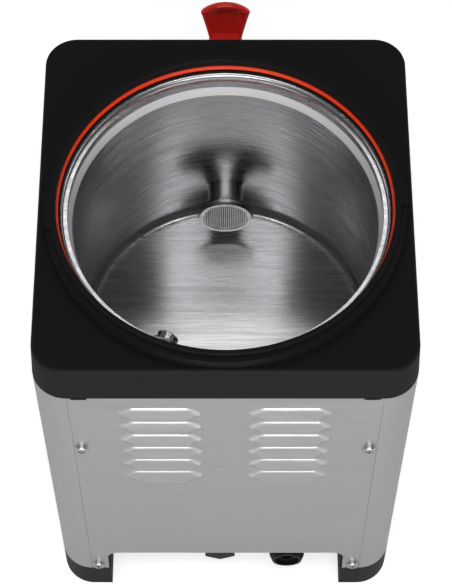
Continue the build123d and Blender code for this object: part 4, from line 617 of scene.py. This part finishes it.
# Through its thickness, each cheek is softened at both faces: how far out, and how far in.
cheek_out = np.array([CHEEK_IN, CHEEK_IN + CHEEK_EDGE / 2, CHEEK_IN + CHEEK_EDGE,
                      CHEEK_OUT - CHEEK_EDGE, CHEEK_OUT - CHEEK_EDGE / 2, CHEEK_OUT])
cheek_inset = CHEEK_EDGE * np.array([1.0, 0.2, 0.0, 0.0, 0.2, 1.0])
cheek_outlines = outline[None] - cheek_inset[:, None, None] * circle[None]
for side, name in ((-1, "lever_cheek_left"), (1, "lever_cheek_right")):
    cheek_x = np.broadcast_to(side * cheek_out[:, None, None], cheek_outlines.shape[:2] + (1,))
    cheek = closed_mesh(name, np.concatenate([cheek_x, cheek_outlines], axis=-1))
    cheek.data.materials.append(red_abs)
    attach(cheek, "lever")
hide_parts("tap_lever")


# ---------------------------------------------------------------------------
# Tap, gland, plug and controls: black glass-filled nylon from a polished mould,
# which gives a soft gloss.  The lamps are green polycarbonate lenses.
# ---------------------------------------------------------------------------
nylon_black = moulded_black("glass_filled_nylon", "#141414", 0.34, grain_mm=1.2, depth=0.08)
for name in ("tap_body", "tap_cap", "cable_gland", "hex_plug", "gland_nuts", "control_panel",
             "rocker_housing", "power_rocker", "thermostat_knob"):
    dress(name, nylon_black)

lens_green, tree, shader = principled("tinted_polycarbonate", srgb("#1E8A3A"), Roughness=0.12,
                                      Coat_Weight=0.3)
place = add(tree, "ShaderNodeTexCoord").outputs["Object"]
facet = add(tree, "ShaderNodeTexVoronoi", None, Vector=place, Scale=900.0)
bump = add(tree, "ShaderNodeBump", None, Strength=0.2, Distance=0.0003,
           Height=facet.outputs["Distance"])
tree.links.new(bump.outputs[0], shader.inputs["Normal"])
dress("pilot_lamps", lens_green)


# ---------------------------------------------------------------------------
# Marks on the controls: white pad-printed ink, dull and opaque.  I and O stand above
# and below the rocker, 0 to 6 round the knob, and a pointer line on the knob itself.
# ---------------------------------------------------------------------------
white_ink, tree, shader = principled("pad_printed_white_ink", srgb("#D8D8D6"), Roughness=0.55)
place = add(tree, "ShaderNodeTexCoord").outputs["Object"]
speck = add(tree, "ShaderNodeTexNoise", None, Vector=place, Scale=1500.0, Detail=2.0)
tint = add(tree, "ShaderNodeMixRGB", None, Fac=speck.outputs["Fac"],
           Color1=srgb("#CFCFCC"), Color2=srgb("#E4E4E2"))
tree.links.new(tint.outputs[0], shader.inputs["Base Color"])


INK_THICK = 0.00004


def printed(name, text, size, place, body):
    """Flat lettering made a mesh, turned to face the front and then moved to its place."""
    letters = bpy.data.curves.new(name, "FONT")
    letters.body = text
    letters.size = size
    letters.align_x = "CENTER"
    letters.align_y = "CENTER"
    letters.extrude = INK_THICK
    letters.resolution_u = 4
    shape = bpy.data.objects.new(name + "_shape", letters)
    scene.collection.objects.link(shape)
    mesh = bpy.data.meshes.new_from_object(shape.evaluated_get(bpy.context.evaluated_depsgraph_get()))
    bpy.data.objects.remove(shape)
    mesh.transform(Matrix.Translation(place) @ Matrix.Rotation(math.pi / 2, 4, "X"))
    made = bpy.data.objects.new(name, mesh)
    scene.collection.objects.link(made)
    made.data.materials.clear()
    made.data.materials.append(white_ink)
    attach(made, body)
    return made


panel_front_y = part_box("control_panel")[0][1]
knob_low, knob_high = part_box("thermostat_knob")
knob_x, knob_z = (knob_low[0] + knob_high[0]) / 2, (knob_low[2] + knob_high[2]) / 2
DIAL_RADIUS, DIAL_TALL, INK_LIFT = 0.0188, 0.0042, 0.00006
DIAL_START, DIAL_STEP = -135, 45
for number in range(7):
    bearing = math.radians(DIAL_START + DIAL_STEP * number)
    dial_x, dial_z = knob_x + DIAL_RADIUS * math.sin(bearing), knob_z + DIAL_RADIUS * math.cos(bearing)
    printed(f"dial_{number}", str(number), DIAL_TALL, (dial_x, panel_front_y - INK_LIFT, dial_z), "cabinet")
rocker_low, rocker_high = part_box("rocker_housing")
rocker_x = (rocker_low[0] + rocker_high[0]) / 2
SIGN_TALL, SIGN_AWAY = 0.0045, 0.0045
for name, sign_text, sign_z in (("on_mark", "I", rocker_high[2] + SIGN_AWAY),
                                ("off_mark", "O", rocker_low[2] - SIGN_AWAY)):
    printed(name, sign_text, SIGN_TALL, (rocker_x, panel_front_y - INK_LIFT, sign_z), "cabinet")
POINTER_TALL, POINTER_OUT = 0.006, 0.008
printed("knob_pointer", "I", POINTER_TALL, (knob_x, knob_low[1] - INK_LIFT, knob_z + POINTER_OUT), "knob")


# ---------------------------------------------------------------------------
# Refrigeration: soft-drawn copper tube, aluminium fins, a black-enamelled
# compressor and pale foam round the tank, all inside the cabinet.
# ---------------------------------------------------------------------------
copper = brushed_steel("drawn_copper", "#C87A55", 0.3, (0.1, 0.1, 0.1),
                       grain_mm=1.5, depth=0.05, streak=0.2)
for name in ("evaporator_coil", "condenser_tubes", "discharge_line", "liquid_line", "supply_line",
             "suction_line", "filter_drier"):
    dress(name, copper)
fins = brushed_steel("rolled_aluminium", "#D0D2D4", 0.35, (0.1, 1.0, 0.02),
                     grain_mm=1.0, depth=0.05, streak=0.1)
dress("condenser_fins", fins)
enamel_black = moulded_black("black_enamel", "#131313", 0.3, grain_mm=2.0, depth=0.08)
dress("compressor", enamel_black)

foam, tree, shader = principled("polyurethane_foam", srgb("#E2D3A4"), Roughness=0.9)
place = add(tree, "ShaderNodeTexCoord").outputs["Object"]
cells = add(tree, "ShaderNodeTexVoronoi", None, Vector=place, Scale=700.0)
tint = add(tree, "ShaderNodeMixRGB", None, Fac=cells.outputs["Distance"],
           Color1=srgb("#D3C190"), Color2=srgb("#EADDB4"))
tree.links.new(tint.outputs[0], shader.inputs["Base Color"])
bump = add(tree, "ShaderNodeBump", None, Strength=0.5, Distance=0.0005,
           Height=cells.outputs["Distance"])
tree.links.new(bump.outputs[0], shader.inputs["Normal"])
for name in ("base_foam", "wall_foam"):
    dress(name, foam)
